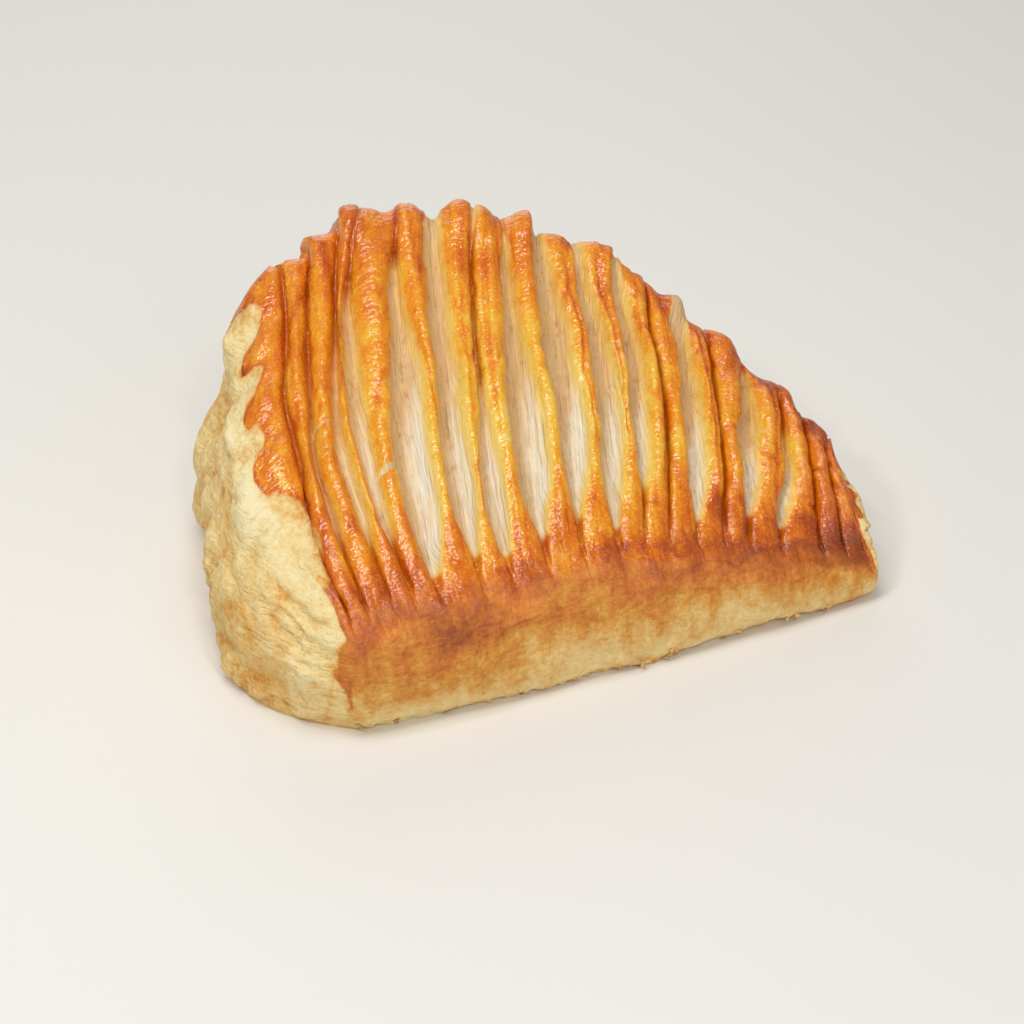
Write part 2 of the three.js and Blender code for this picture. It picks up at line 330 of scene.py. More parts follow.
class ScoringSizes(bpy.types.PropertyGroup):
    """The scored top: bars of glazed crust between slits that opened in the oven."""

    bulge: distance("Blunt bulge", 9, "How far the face bows out at the blunt end")
    crown: distance("Crown", 2, "How far the face bows up")
    ridge_height: distance("Bar height", 1.9, "Height of a bar above the skin")
    roundness: amount("Bar roundness", 2.7, "2 for a round bar, more for a flat one")
    slit_depth: distance("Slit depth", 2.2, "Depth of the widest slit below a crease")
    crease_depth: distance("Crease depth", 1.3, "Depth of a shut slit")


class WallSizes(bpy.types.PropertyGroup):
    """The puffed rim wall and the two ends."""

    crest_roll: distance("Crest roll", 2.6, "How far the crest rolls out over the wall")
    seam_depth: distance("Seam depth", 1.6, "Depth of the seam between the two sheets")
    toe_tuck: distance("Toe tuck", 3.4, "How far the toe tucks under")
    corner_tuck: distance("Corner tuck", 1.8, "How much further it tucks under at the blunt end")
    ear: distance("Ear", 3.2, "How far the back of the blunt end swells out above the toe")
    lump_size: distance("Lump size", 13, "Breadth of the lumps")
    lump_height: distance("Lump height", 1.1, "Height of the lumps")
    foot_bow: distance("Foot bow", 15, "How far the foot of the blunt end bows out")
    blunt_swell: distance("Blunt swell", 6.2, "How far the blunt end swells")
    blunt_seam: distance("Blunt seam", 2.6, "Depth of the crease along the blunt end")
    sheet_step: distance("Sheet step", 0.8, "Thickness of the glazed sheet where it ends")


class FlakeSizes(bpy.types.PropertyGroup):
    """Loose flakes along the foot, the toe and the ends."""

    count: bpy.props.IntProperty(name="Count", description="Number of flakes", default=170, min=0)
    seed: bpy.props.IntProperty(name="Seed", description="Start of the random draws", default=7)
    length: distance("Length", 1.3, "Length of a middling flake")
    thickness: distance("Thickness", 0.12, "Thickness of a flake")


class CrustColours(bpy.types.PropertyGroup):
    """Colours of the crust: the glaze and the dry dough, each from pale to dark, and the cut dough."""

    honey: tint("Honey", 241, 206, 104, "Thin glaze")
    golden: tint("Golden", 240, 184, 50, "Glaze that has just turned")
    orange: tint("Orange", 236, 142, 22, "Glazed crust")
    amber: tint("Amber", 216, 106, 12, "Well baked glaze")
    russet: tint("Russet", 178, 74, 14, "Dark glaze")
    burnt: tint("Burnt", 138, 58, 26, "Creases in the glaze")
    cream: tint("Cream", 251, 234, 184, "Dry dough that stayed pale")
    straw: tint("Straw", 247, 220, 154, "Dry dough that has just turned")
    biscuit: tint("Biscuit", 236, 193, 114, "Dry baked dough")
    tan: tint("Tan", 223, 152, 50, "Well baked dough")
    caramel: tint("Caramel", 206, 112, 20, "Brown dough")
    umber: tint("Umber", 154, 70, 10, "Dark dough")
    # The cut dough comes in two copies: cream as lit on the slits' right walls, and a darker floor colour
    # that is painted shade over moist dough.
    cut_dough: tint("Cut dough", 238, 231, 208, "Wall of an open slit")
    shaded_slit_floor: tint("Slit floor", 220, 180, 126, "Moist dough at the bottom of a slit")
    pore: tint("Pores", 184, 130, 80, "Pores in the moist dough")


class StageSettings(bpy.types.PropertyGroup):
    """Camera, lights and floor."""

    azimuth: turn("Azimuth", -24.5, "Way round the turnover, 0 looking square at the fold")
    elevation: turn("Elevation", 35, "Height of the view")
    lens: amount("Lens", 100, "Focal length in millimetres")
    aim_right: distance("Aim right", 2.2, "Place along the fold that the view is set by")
    aim_back: distance("Aim back", -44.52, "Place back from the middle that the view is set by")
    away: distance("Distance", 568.9, "Distance from that place to the camera")
    shift_left: distance("Shift left", 17.6, "How far the camera stands to the left")
    shift_up: distance("Shift up", 30.6, "How far the camera stands up")
    key: amount("Key light", 0.9, "Watts of the light above the blunt end")
    top: amount("Top lights", 2.2, "Watts of the narrow lights overhead")
    front: amount("Front light", 0.6, "Watts of the small light over the camera")
    fill: amount("Fill light", 1.6, "Watts of the broad light in front")
    back: amount("Back light", 1.7, "Watts of the broad light behind")
    sky: amount("Sky", 0.28, "Strength of the even light from all round")
    floor: tint("Floor", 238, 235, 228, "Plain pale floor")


class TurnoverSettings(bpy.types.PropertyGroup):
    """All that can be changed on the turnover."""

    fold: bpy.props.PointerProperty(type=FoldSizes)
    rim: bpy.props.PointerProperty(type=RimOutline)
    base: bpy.props.PointerProperty(type=BaseOutline)
    scoring: bpy.props.PointerProperty(type=ScoringSizes)
    wall: bpy.props.PointerProperty(type=WallSizes)
    flakes: bpy.props.PointerProperty(type=FlakeSizes)
    colours: bpy.props.PointerProperty(type=CrustColours)
    stage: bpy.props.PointerProperty(type=StageSettings)


class PastrySkin:
    """The smooth skin: a point for each share of the fold's length and each course over the pastry.
    Course 0 to 1 climbs the fold, 1 to 2 crosses the top face and 2 to 3 falls down the rim wall."""

    taper_power = 1.6
    lift_shares = (0.68, 0.95)
    low_rise = 0.15
    high_rise = 0.86
    bulge_length = 0.1
    roll_part = 0.16
    seam_at = 0.72
    seam_width = 0.06
    seam_fades = (0.85, 1)
    toe_part = 0.14
    ear_length = 0.03
    ear_at = 0.57
    ear_width = 0.2

    def __init__(self, settings):
        self.fold = settings.fold
        self.rim = settings.rim
        self.base = settings.base
        self.scoring = settings.scoring
        self.wall = settings.wall
        self.length = settings.fold.right_end - settings.fold.left_end

    def moon(self, share, outline):
        """Half-moon: a quarter ellipse to the right and a squarer one to the left, fanned at the left."""
        angle = np.radians(RIM_START - RIM_SWEEP * share) + outline.fan * np.exp(-share / outline.fan_length)
        level, back = np.cos(angle), np.sin(angle)
        power = 2 / outline.squareness
        leftward = np.maximum(-level, 0)
        x = RIM_CENTRE + np.where(level > 0, outline.right * level, -outline.left * leftward**power)
        y = outline.depth * np.where(level > 0, back, back**power)
        return x, y, back, leftward

    def crest(self, share):
        """Top of the rim: it rises to the back as the sine of the angle, and is lower to both ends."""
        x, y, back, leftward = self.moon(share, self.rim)
        z = self.rim.low + self.rim.rise * back - self.rim.left_drop * np.sqrt(leftward)
        return points(x, y, z + self.rim.right_lift * smooth(share, *self.lift_shares))

    def fold_top(self, share):
        """Upper edge of the fold: level, then sinking by a power of the way to the narrow end."""
        taper = np.clip((share - self.fold.taper_from) / (1 - self.fold.taper_from), 0, 1)
        x = self.fold.left_end + self.length * share
        y = self.fold.top_back - self.fold.taper_shift * taper
        return points(x, y, self.fold.height - self.fold.taper_drop * taper**self.taper_power)

    def fold_point(self, share, part):
        """Cubic Bezier curve from the foot, out over the swell and back to the top of the fold."""
        top = self.fold_top(share)
        x, y, z = np.moveaxis(top, -1, 0)
        foot_back = self.fold.foot_back - self.fold.foot_bow * np.sin(pi * share)
        foot = points(x, foot_back, 0)
        low = points(x, foot_back - self.fold.low_pull, z * self.low_rise)
        high = points(x, y - self.fold.high_pull, z * self.high_rise)
        t = np.broadcast_to(part, x.shape)[..., None]
        s = 1 - t
        return foot * s**3 + 3 * low * s * s * t + 3 * high * s * t * t + top * t**3

    def face_point(self, share, part):
        """Straight line from the fold to the crest, bowed up, and bowed out near the blunt end."""
        bow = 4 * part * (1 - part)
        out = self.scoring.bulge * np.exp(-share / self.bulge_length) * bow
        line = mix(self.fold_top(share), self.crest(share), np.broadcast_to(part, share.shape)[..., None])
        return line + points(-out, 0, self.scoring.crown * bow)

    def wall_point(self, share, part):
        """Line from the crest to the base, pushed out by the roll, in at the seam and in at the toe."""
        crest = self.crest(share)
        x, y, _, _ = self.moon(share, self.base)
        base = points(x, y, 0)
        outward = unit((base - crest) * (1, 1, 0))
        roll = self.wall.crest_roll * np.sqrt(1 - (1 - np.minimum(part / self.roll_part, 1)) ** 2)
        seam = self.wall.seam_depth * bell((part - self.seam_at) / self.seam_width)
        seam = seam * (1 - smooth(share, *self.seam_fades))
        corner = bell(share / self.ear_length)
        ear = self.wall.ear * corner * bell((part - self.ear_at) / self.ear_width)
        tuck = (self.wall.toe_tuck + self.wall.corner_tuck * corner) * smooth(part, 1 - self.toe_part, 1)
        part = np.broadcast_to(part, share.shape)[..., None]
        return mix(crest, base, part) + outward * (roll - seam - tuck + ear)[..., None]

    def point(self, share, course):
        """The fold, the face or the wall, by the course."""
        share, course = np.broadcast_arrays(share, course)
        course_column = course[..., None]
        fold = self.fold_point(share, np.clip(course, 0, 1))
        face = self.face_point(share, np.clip(course - 1, 0, 1))
        wall = self.wall_point(share, np.clip(course - 2, 0, 1))
        return np.where(course_column < 1, fold, np.where(course_column < 2, face, wall))


def across_bar(part):
    """Place across a bar, from -1 to 1, by the part of the way across its strip."""
    return np.clip((part - 0.5) / (0.5 - GROOVE_PART), -1, 1)


def into_groove(part):
    """Way into the groove beside a bar, 0 on the bar and 1 in the middle of the slit."""
    return np.clip(1 - np.minimum(part, 1 - part) / GROOVE_PART, 0, 1)


class Scoring:
    """The strips across the top: each runs from the middle of one slit to the middle of the next."""

    wander = 0.005
    foot_rise = 0.05
    open_by = 0.19
    full_gape = 2.4 * MM
    knob_length = 0.11
    lean = 0.15
    steep_side = 4.0
    slope_side = 1.3
    floor_wide = (0.35, 0.75)
    crack_wave = 0.004
    groove_columns = 0.27
    ragged = (0.22, 0.12)
    crease_width = 0.14

    def __init__(self, settings):
        self.sizes = settings.scoring
        self.length = settings.fold.right_end - settings.fold.left_end
        ends = np.array(((0,) * 6, (1,) * 3 + (0,) * 3))
        table = np.concatenate((ends[:1], SLITS, ends[1:]))
        self.places, self.gapes = table[:, :3], table[:, 3:] * MM
        self.last = len(table) - 1

    def columns(self):
        """Strip number and part across it for each column, as many as the width needs, finer in grooves."""
        widths = np.diff(self.places[:, 1]) * self.length
        counts = np.maximum(STRIP_LEAST, np.round(widths / STRIP_PITCH)).astype(int)
        stops = (0, GROOVE_PART, 1 - GROOVE_PART, 1)
        parts = []
        for count in counts:
            groove = round(self.groove_columns * count)
            knots = (0, groove, count - groove, count)
            parts.append(np.interp(np.arange(count), knots, stops))
        strip = np.repeat(np.arange(len(counts)), counts)
        return np.append(strip, len(counts) - 1), np.append(np.concatenate(parts), 1.0)

    def slit(self, number, climb):
        """Share of the fold at which a slit lies: a parabola through its three places, and a small wander."""
        low, middle, top = np.moveaxis(self.places[number], -1, 0)
        share = parabola(climb, (0, 0.5, 1), (low, middle, top))
        inner = (number > 0) & (number < self.last)
        swing = self.wander * 4 * climb * (1 - climb) * lumps(points(number * 5.0, climb * 5, 0), 1)
        return share + np.where(inner, swing, 0)

    def gape(self, number, climb):
        """Half the gap of a slit: a parabola through its three gaps, shut at the fold."""
        low, middle, top = np.moveaxis(self.gapes[number], -1, 0)
        gap = parabola(climb, GAPE_HEIGHTS, (low, middle, top))
        foot = self.foot_rise * chance(number, 3, 8)
        return np.maximum(gap, 0.25 * top) * smooth(climb, foot - 0.02, foot + self.open_by)

    def across(self, strip, part, course):
        """Share of the fold at a part of the way across a strip, and the way inside its bar's nearer edge."""
        climb = np.clip(course - 1, 0, 1)
        on_face = smooth(course, 0.5, 0.92) * (1 - smooth(course, 2.05, 2.35))
        start, stop = self.slit(strip, climb), self.slit(strip + 1, climb)
        width = (stop - start) * self.length
        coarse, fine = self.ragged
        ragged = 1 + coarse * lumps(points(strip * 9.0, climb * 9, 1), 1)
        ragged = ragged + fine * lumps(points(strip * 9.0, climb * 27, 2), 1)
        left = np.clip(self.gape(strip, climb) * ragged / width, GROOVE_LEAST, GROOVE_MOST)
        right = np.clip(self.gape(strip + 1, climb) * (2 - ragged) / width, GROOVE_LEAST, GROOVE_MOST)
        left, right = mix(GROOVE_PART, left, on_face), mix(GROOVE_PART, right, on_face)
        low = left * part / GROOVE_PART
        middle = mix(left, 1 - right, (part - GROOVE_PART) / (1 - 2 * GROOVE_PART))
        high = 1 - right * (1 - part) / GROOVE_PART
        place = np.where(part < GROOVE_PART, low, np.where(part > 1 - GROOVE_PART, high, middle))
        from_left = np.where(strip == 0, np.inf, (place - left) * width)
        from_right = np.where(strip == self.last - 1, np.inf, (1 - right - place) * width)
        inside = np.minimum(np.minimum(from_left, from_right), FAR_INSIDE * MM)
        return mix(start, stop, place), inside

    def creased(self, strip, part, climb):
        """Nearness to the crease down a bar that has one."""
        reach = smooth(climb, 0.2, 0.45) * (1 - smooth(climb, 0.85, 1))
        total = 0
        for number, place in CREASED_STRIPS.items():
            dip = bell((across_bar(part) - place) / self.crease_width) * reach
            total = total + np.where(strip == number, dip, 0)
        return total

    def cracked(self, strip, part, climb):
        """Nearness to a crack across a bar: a narrow wavy bell up the face on the bar that has it."""
        total = 0
        climb = climb + self.crack_wave * lumps(points(part * 4, strip, 5), 1)
        for number, place, half in CRACKS:
            total = total + np.where(strip == number, bell((climb - place) / half), 0)
        return total

    def height(self, strip, part, course, share):
        """Height above the skin: a leaning bar, the crest's line and any crease, less the groove beside it.
        The groove falls steeply from the bar on its left and slopes up to the bar on its right."""
        climb = np.clip(course - 1, 0, 1)
        run_out = course + 0.07 * lumps(points(share * 14, 0, 9), 1)
        reach = smooth(run_out, *SCORE_IN) * (1 - smooth(course, *SCORE_OUT))
        bar = across_bar(part)
        leaning = bar - self.lean * (1 - bar * bar)
        tall = mix(0.4, 1, smooth(climb, 0, 0.5)) * (1 + 0.35 * lumps(points(strip * 7.0, climb * 6, 2), 1))
        beside = np.minimum((self.gape(strip, climb) + self.gape(strip + 1, climb)) / (2 * self.full_gape), 1)
        near = np.where(part < 0.5, strip, strip + 1)
        parted = mix(1, 0.75 * CREST_SLITS[near], smooth(course, 1.84, 1.97))
        round_bar = 1 - parted * np.abs(leaning) ** mix(2, self.sizes.roundness, beside)
        ridge = self.sizes.ridge_height * mix(1, 0.75, beside) * tall * round_bar
        on_crest = bell((course - 2.01) / self.knob_length)
        knob = on_crest * (eased(share, CREST_LINE) * MM - 0.6 * ridge)
        crease = 0.7 * MM * self.cracked(strip, part, climb) + 0.8 * MM * self.creased(strip, part, climb)
        groove = into_groove(part)
        slope = mix(self.slope_side, self.steep_side, smooth(climb, *self.floor_wide))
        profile = 1 - (1 - groove) ** np.where(part < 0.5, slope, self.steep_side)
        gap = self.gape(near, climb)
        opened = np.minimum(gap / self.full_gape, 1)
        depth = (self.sizes.crease_depth + self.sizes.slit_depth * opened) * parted
        floor = 0.4 * MM * lumps(points(near * 11.0, climb * 13, 3), 1) * groove * opened
        depth = np.where((near == 0) | (near == self.last), 0, depth)
        return reach * (ridge + knob - crease - depth * profile + floor)


def soften(grid, weight, rounds):
    """Rounds off a grid along its courses: each round moves a point towards the middle of its two neighbours,
    by half a weight."""
    for _ in range(rounds):
        middle = (grid[:, :-2] + grid[:, 2:]) / 2
        grid[:, 1:-1] += weight[:, 1:-1, None] * (middle - grid[:, 1:-1]) / 2
    return grid


def grid_normals(grid):
    """Outward direction at each point of a grid: the cross product of the differences along its two ways."""
    along = np.gradient(grid, axis=0)
    up = np.gradient(grid, axis=1)
    return unit(np.cross(along, up))


def dry_relief(point):
    """Relief of dry puffed dough, and how near each point is to the toasted edge of a leaf: crumples bent by
    lumps, with leaves in patches, which are saw teeth by height, each sloping out and then dropping back."""
    bend = points(lumps(point, 9 * MM), lumps(point + 31 * MM, 9 * MM), lumps(point + 67 * MM, 9 * MM))
    bent = point + 3.5 * MM * bend
    broad = crumples(bent, 11 * MM)
    small = crumples(bent + 50 * MM, 5 * MM)
    fine = crumples(bent + 80 * MM, 2.6 * MM)
    level = point[..., 2] / (5 * MM) + 2.2 * lumps(point, 14 * MM) + 0.8 * lumps(point + 20 * MM, 5.5 * MM)
    tooth = level - np.floor(level)
    shown = smooth(lumps(point + 90 * MM, 13 * MM), -0.25, 0.35)
    leaf = shown * smooth(tooth, 0, 0.8) * (1 - smooth(tooth, 0.85, 1))
    relief = 1.8 * (broad - 0.65) + 1.1 * (small - 0.65) + 0.4 * (fine - 0.65) + 0.6 * leaf
    edge = shown * bell((tooth - 0.85) / 0.1) + 0.7 * smooth(broad, 0.88, 1) + 0.6 * smooth(small, 0.88, 1)
    return relief * MM, np.minimum(edge, 1)


def dryness(pale):
    """0 under the glazed sheet and 1 past its end."""
    return smooth(pale, -0.3 * MM, 0.3 * MM)


class PastryBody:
    """The fold, the scored face and the rim wall on one grid of columns and courses."""

    def __init__(self, settings):
        skin, scoring = PastrySkin(settings), Scoring(settings)
        strip, part = (x[:, None] for x in scoring.columns())
        course = self.rows()
        share, inside = scoring.across(strip, part, course)
        self.length = scoring.length
        self.course, self.share, self.strip = np.broadcast_arrays(course, share, strip)
        self.climb = np.clip(self.course - 1, 0, 1)
        self.mark_slits(scoring, part, inside)
        smooth_skin = soften(skin.point(share, course), bell((course - 1) / 0.2), FOLD_ROUNDS)
        smooth_skin = soften(smooth_skin, bell((course - 2) / 0.07), CREST_ROUNDS)
        facing = grid_normals(smooth_skin)
        raised = scoring.height(strip, part, course, share) + self.unevenness(settings.wall, smooth_skin)
        grid = smooth_skin + facing * (raised * (course > 0) * (course < 3))[..., None]
        self.pale = self.bare_dough()
        self.dry = dryness(self.pale)
        relief, self.crimp = self.fine_relief(grid, scoring.creased(strip, part, self.climb))
        self.relief = relief * smooth(course, 0, 0.06) * (1 - smooth(course, 2.96, 3))
        outward = mix(grid_normals(grid), facing, smooth(course, 1.9, 2.04)[..., None])
        grid = grid + unit(outward) * self.relief[..., None]
        self.grid = grid + self.ragged_foot(grid)

    def rows(self):
        """Courses of the rows: even up the fold and the face, and crowded to the crest on the wall."""
        side = np.linspace(0, 1, SIDE_STEPS + 1)
        face = np.linspace(0, 1, FACE_STEPS + 1)
        return np.concatenate((side, 1 + face[1:], 2 + side[1:] ** WALL_EASE))[None, :]

    def mark_slits(self, scoring, part, inside):
        """What the crust reads of the slits: the way inside a bar, which a crack cuts short, how far the
        nearer slit is open, how moist its floor is, and the place across a slit or a bar, from -1 to 1."""
        crack = scoring.cracked(self.strip, part, self.climb)
        gap = scoring.gape(np.where(part < 0.5, self.strip, self.strip + 1), self.climb)
        groove = into_groove(part)
        slit_side = np.where(part < 0.5, 1 - groove, groove - 1)
        self.scored = smooth(self.course, 0.97, 1.05)
        self.inside = np.where(crack > 0.5, np.minimum(inside, (0.5 - crack) * 1.2 * MM), inside)
        self.opened = np.maximum(smooth(gap, 0.3 * MM, 0.7 * MM), crack > 0.3)
        self.moist = smooth(self.climb, 0.3, 0.68)
        self.cross = np.where(groove > 0, slit_side, -across_bar(part)) * np.ones_like(self.share)

    def unevenness(self, wall, point):
        """Broad lumps of the fold and of the wall, none where they meet the base."""
        on_fold = 0.5 * smooth(self.course, 0, 0.3) * (1 - smooth(self.course, 0.7, 1))
        on_wall = smooth(self.course, 2.1, 2.4) * (1 - smooth(self.course, 2.8, 3))
        return wall.lump_height * (on_fold + on_wall) * lumps(point, wall.lump_size)

    def bare_dough(self):
        """Distance past the end of the glazed sheet, below 0 under the glaze.
        The sheet ends in flaps along the blunt end and in a scalloped edge down the rim wall."""
        over = np.where(self.course < 1, eased(self.course, FRONT_EDGE), eased(self.climb, TOP_EDGE))
        side = -self.share * self.length - over * MM
        scallop = (1.2 + 2.6 * chance(self.strip, 5, 2) * smooth(self.inside, -0.5 * MM, 1.5 * MM)) * MM
        drop = (self.course - 2) * np.where(self.course > 2, 60, 80) * MM
        drop = drop - scallop * smooth(self.inside, -2 * MM, 1 * MM) - 1.5 * MM
        return np.where(self.course > 2, drop, np.maximum(side, np.minimum(drop, -0.5 * MM)))

    def fine_relief(self, grid, creased):
        """Blisters and long creases on the bars, dimples on the fold, leaves at its foot and crumples in the
        dry dough. With it comes the crimp: how near each point is to a crease or the edge of a leaf, below 0
        where the glaze is thin."""
        share, course = self.share, self.course
        blister = 0.12 * lumps(grid, 2.6 * MM) + 0.08 * lumps(grid, 1.3 * MM)
        furrow = crumples(on_skin(share, course, 2.6, 22, self.strip * 1.7), 1)
        crease = 0.2 * lumps(on_skin(share, course, 1.3, 15, self.strip * 3.1), 1)
        crease = crease - 0.3 * smooth(furrow, 0.8, 1)
        pleat = crumples(on_skin(share, course, 7, 2.2, 1), 1)
        wrinkle = 0.3 * (pleat - 0.6) * bell((course - 1.95) / 0.07)
        dimple = 0.3 * lumps(grid, (3.4 * MM, 9 * MM, 6 * MM)) + 0.16 * lumps(grid, 2 * MM)
        rough, edge = dry_relief(grid)
        below = 1 - smooth(course, 0.8, 1.02)
        foot = below * self.flaky_foot()
        on_fold = mix(dimple * MM + 0.35 * rough, 0.8 * rough, foot)
        glazed = mix((blister + crease + wrinkle) * MM, on_fold, below)
        step = -0.6 * MM * smooth(self.pale, -0.4 * MM, 0.4 * MM)
        bar_marks = np.maximum(0.6 * smooth(furrow, 0.86, 1) * self.scored, creased)
        marks = mix(bar_marks, edge * np.maximum(foot, 0.35), below)
        heel = 1 + 0.05 * lumps(on_skin(share, 0, 9, 1, 6), 1) + 0.02 * lumps(on_skin(share, 0, 3, 1, 7), 1)
        thin_glaze = bell((course - heel) / 0.012) * smooth(lumps(on_skin(share, 0, 7, 1, 8), 1), 0, 0.3)
        return mix(glazed, rough + step, self.dry), mix(marks - 0.4 * thin_glaze, edge, self.dry)

    def flaky_foot(self):
        """Where the foot of the fold is pale and flaky: a band that widens to the right, and its corner."""
        patches = lumps(on_skin(self.share, self.course, 8, 20, 8), 1)
        band = 0.06 + 0.16 * smooth(self.share, 0.5, 0.85) + 0.06 * patches
        corner = bell((1 - self.share) / 0.1) * bell((self.course - 0.3) / 0.5)
        return np.maximum(1 - smooth(self.course, band, band + 0.16), corner)

    def ragged_foot(self, grid):
        """Small in and out steps of the foot and the toe, in the plane of the base."""
        low = bell(self.course / 0.05) + bell((3 - self.course) / 0.03)
        along = self.share * FOLD_SPAN
        rough = 0.6 * lumps(points(along, 0, 4), 1.4) + 0.3 * lumps(points(along, 0, 5), 0.5)
        away = unit(np.gradient(grid, axis=0)[..., :2])
        out = points(away[..., 1], -away[..., 0], 0)
        return out * (low * rough * MM)[..., None]


class PastryEnd:
    """The wall that closes an end: blended between its four edges, swollen and creased along the seam."""

    blunt_skew = 2.1
    blunt_seam_at = 0.27
    narrow_bow = -1 * MM
    narrow_swell = -1.5 * MM
    narrow_seam = -0.5 * MM
    narrow_seam_at = 0.3
    seam_width = 0.09

    def __init__(self, body, settings, blunt):
        self.blunt = blunt
        steps = (np.linspace(0, 1, count + 1) for count in (SIDE_STEPS, FACE_STEPS))
        self.rise, self.along = np.meshgrid(*steps, indexing="ij")
        self.clear = np.sin(pi * self.rise) * np.sin(pi * self.along)
        patch = self.swollen(body, settings.wall)
        height = np.linalg.norm(np.diff(patch, axis=0), axis=-1).sum(0)[None, :]
        width = np.linalg.norm(np.diff(patch, axis=1), axis=-1).sum(1)[:, None]
        self.pale = self.bare_dough(height, width)
        self.dry = dryness(self.pale)
        rough, edge = dry_relief(patch)
        self.relief = self.window() * self.dry * (rough - settings.wall.sheet_step - self.dent())
        self.crimp = edge * self.dry
        outward = grid_normals(patch) * (-1 if blunt else 1)
        self.grid = patch + outward * self.relief[..., None]
        self.grain = self.grain_lines(body.length, height, width)
        self.bloom = mix(0.8, self.browned(), self.dry)
        self.glaze = smooth(self.rise, 0.82, 0.98)
        self.round_edges(body)

    def swollen(self, body, wall):
        """Blend of the four edges with the foot bowed out, pushed out by the swell and in at the seam."""
        line = body.grid[0] if self.blunt else body.grid[-1]
        fold, face = line[: SIDE_STEPS + 1], line[SIDE_STEPS: SIDE_STEPS + FACE_STEPS + 1]
        back = line[SIDE_STEPS + FACE_STEPS:][::-1]
        if self.blunt:
            bow, skew, swell = wall.foot_bow, self.blunt_skew, wall.blunt_swell
            seam, seam_at = wall.blunt_seam, self.blunt_seam_at
        else:
            bow, skew, swell = self.narrow_bow, 1, self.narrow_swell
            seam, seam_at = self.narrow_seam, self.narrow_seam_at
        along = self.along[0]
        out = bow * np.sin(pi * (1 - along) ** skew)
        foot = mix(fold[0], back[0], along[:, None]) - points(out, 0, 0)
        patch = self.coons(foot, face, fold, back)
        bulge = swell - seam * bell((self.rise - seam_at) / self.seam_width)
        bulge = bulge + np.sign(swell) * wall.lump_height * lumps(patch, wall.lump_size)
        return patch - points(self.clear * bulge, 0, 0)

    def coons(self, foot, face, fold, back):
        """Coons blend: the two straight blends between facing edges, added, less that of the four corners."""
        rise, along = self.rise[..., None], self.along[..., None]
        upright = mix(foot[None], face[None], rise)
        level = mix(fold[:, None], back[:, None], along)
        corners = mix(mix(foot[0], foot[-1], along), mix(face[0], face[-1], along), rise)
        return upright + level - corners

    def bare_dough(self, height, width):
        """Distance past the end of the glazed sheet, which laps over the top edge, and over the front one too
        at the blunt end."""
        from_top = (1 - self.rise) * height - eased(self.along, TOP_EDGE) * MM
        from_front = self.along * width - eased(self.rise, FRONT_EDGE) * MM
        return np.minimum(from_top, from_front) if self.blunt else from_top - 2.5 * MM

    def window(self):
        """1 inside the end and 0 on its edges, where it has to meet the body."""
        edge = np.minimum(self.rise, 1 - self.rise) * SIDE_STEPS
        side = np.minimum(self.along, 1 - self.along) * FACE_STEPS
        return smooth(edge, 0, 4) * smooth(side, 0, 5)

    def dent(self):
        """A hollow beside the fold at the blunt end."""
        if not self.blunt:
            return 0
        return 2 * MM * bell((self.along - 0.13) / 0.05) * bell((self.rise - 0.45) / 0.12)

    def grain_lines(self, length, height, width):
        """Grain carried on from the body: the way in from the three edges that they share, and the course run
        round from the fold to the wall."""
        sides = (self.along * width, (1 - self.along) * width, (1 - self.rise) * height)
        inward = 1 / sum(1 / (side + 1e-3 * MM) for side in sides)
        course = self.rise + self.along * (3 - 2 * self.rise)
        return points((-inward if self.blunt else length + inward) / MM, COURSE_SPAN * course, 0)

    def browned(self):
        """How far the dry dough is baked: paler to the top, as the rim wall to the back, with a scorched spot
        at the back of the blunt end."""
        level = (0.38 if self.blunt else 0.42) + 0.06 * (1 - smooth(self.rise, 0, 0.4))
        level = level - 0.18 * smooth(self.rise, 0.55, 0.95)
        behind = browning(2 + (1 - self.rise) ** WALL_EASE, 0.0 if self.blunt else 1.0, 0)
        browned = mix(level, behind, smooth(self.along, 0.6, 1)) + 0.06 * self.clear
        if self.blunt:
            browned = browned + 0.14 * bell((self.along - 0.86) / 0.07) * bell((self.rise - 0.25) / 0.14)
        return browned

    def round_edges(self, body):
        """Rounds off the edges to the fold, the face and the rim wall: a band of lines across each edge is
        softened, on the face only where the dough is bare."""
        reach = np.arange(EDGE_STEPS + 1)
        columns = reach if self.blunt else -1 - reach
        weight = bell(np.arange(-EDGE_STEPS, EDGE_STEPS + 1) / (0.6 * EDGE_STEPS))
        first, last = SIDE_STEPS, SIDE_STEPS + FACE_STEPS
        # The body's courses along each edge, the end's grid turned so that the edge is its first column,
        # the rounds of softening and how much of it the glazed sheet takes
        edges = (
            (slice(0, first + 1), self.grid, 60, 1.0),
            (slice(first, last + 1), self.grid[::-1].swapaxes(0, 1), 60, 0.15),
            (slice(last, None), self.grid[::-1, ::-1], 40, 1.0),
        )
        for courses, turned, rounds, under_glaze in edges:
            side = body.grid[columns, courses].swapaxes(0, 1)
            band = np.concatenate((turned[:, EDGE_STEPS:0:-1], side), axis=1)
            bare = smooth(body.pale[columns[0], courses], -1.5 * MM, 0.5 * MM)
            band = soften(band, mix(under_glaze, 1, bare)[:, None] * weight, rounds)
            turned[:, EDGE_STEPS:0:-1] = band[:, :EDGE_STEPS]
            body.grid[columns, courses] = band[:, EDGE_STEPS:].swapaxes(0, 1)


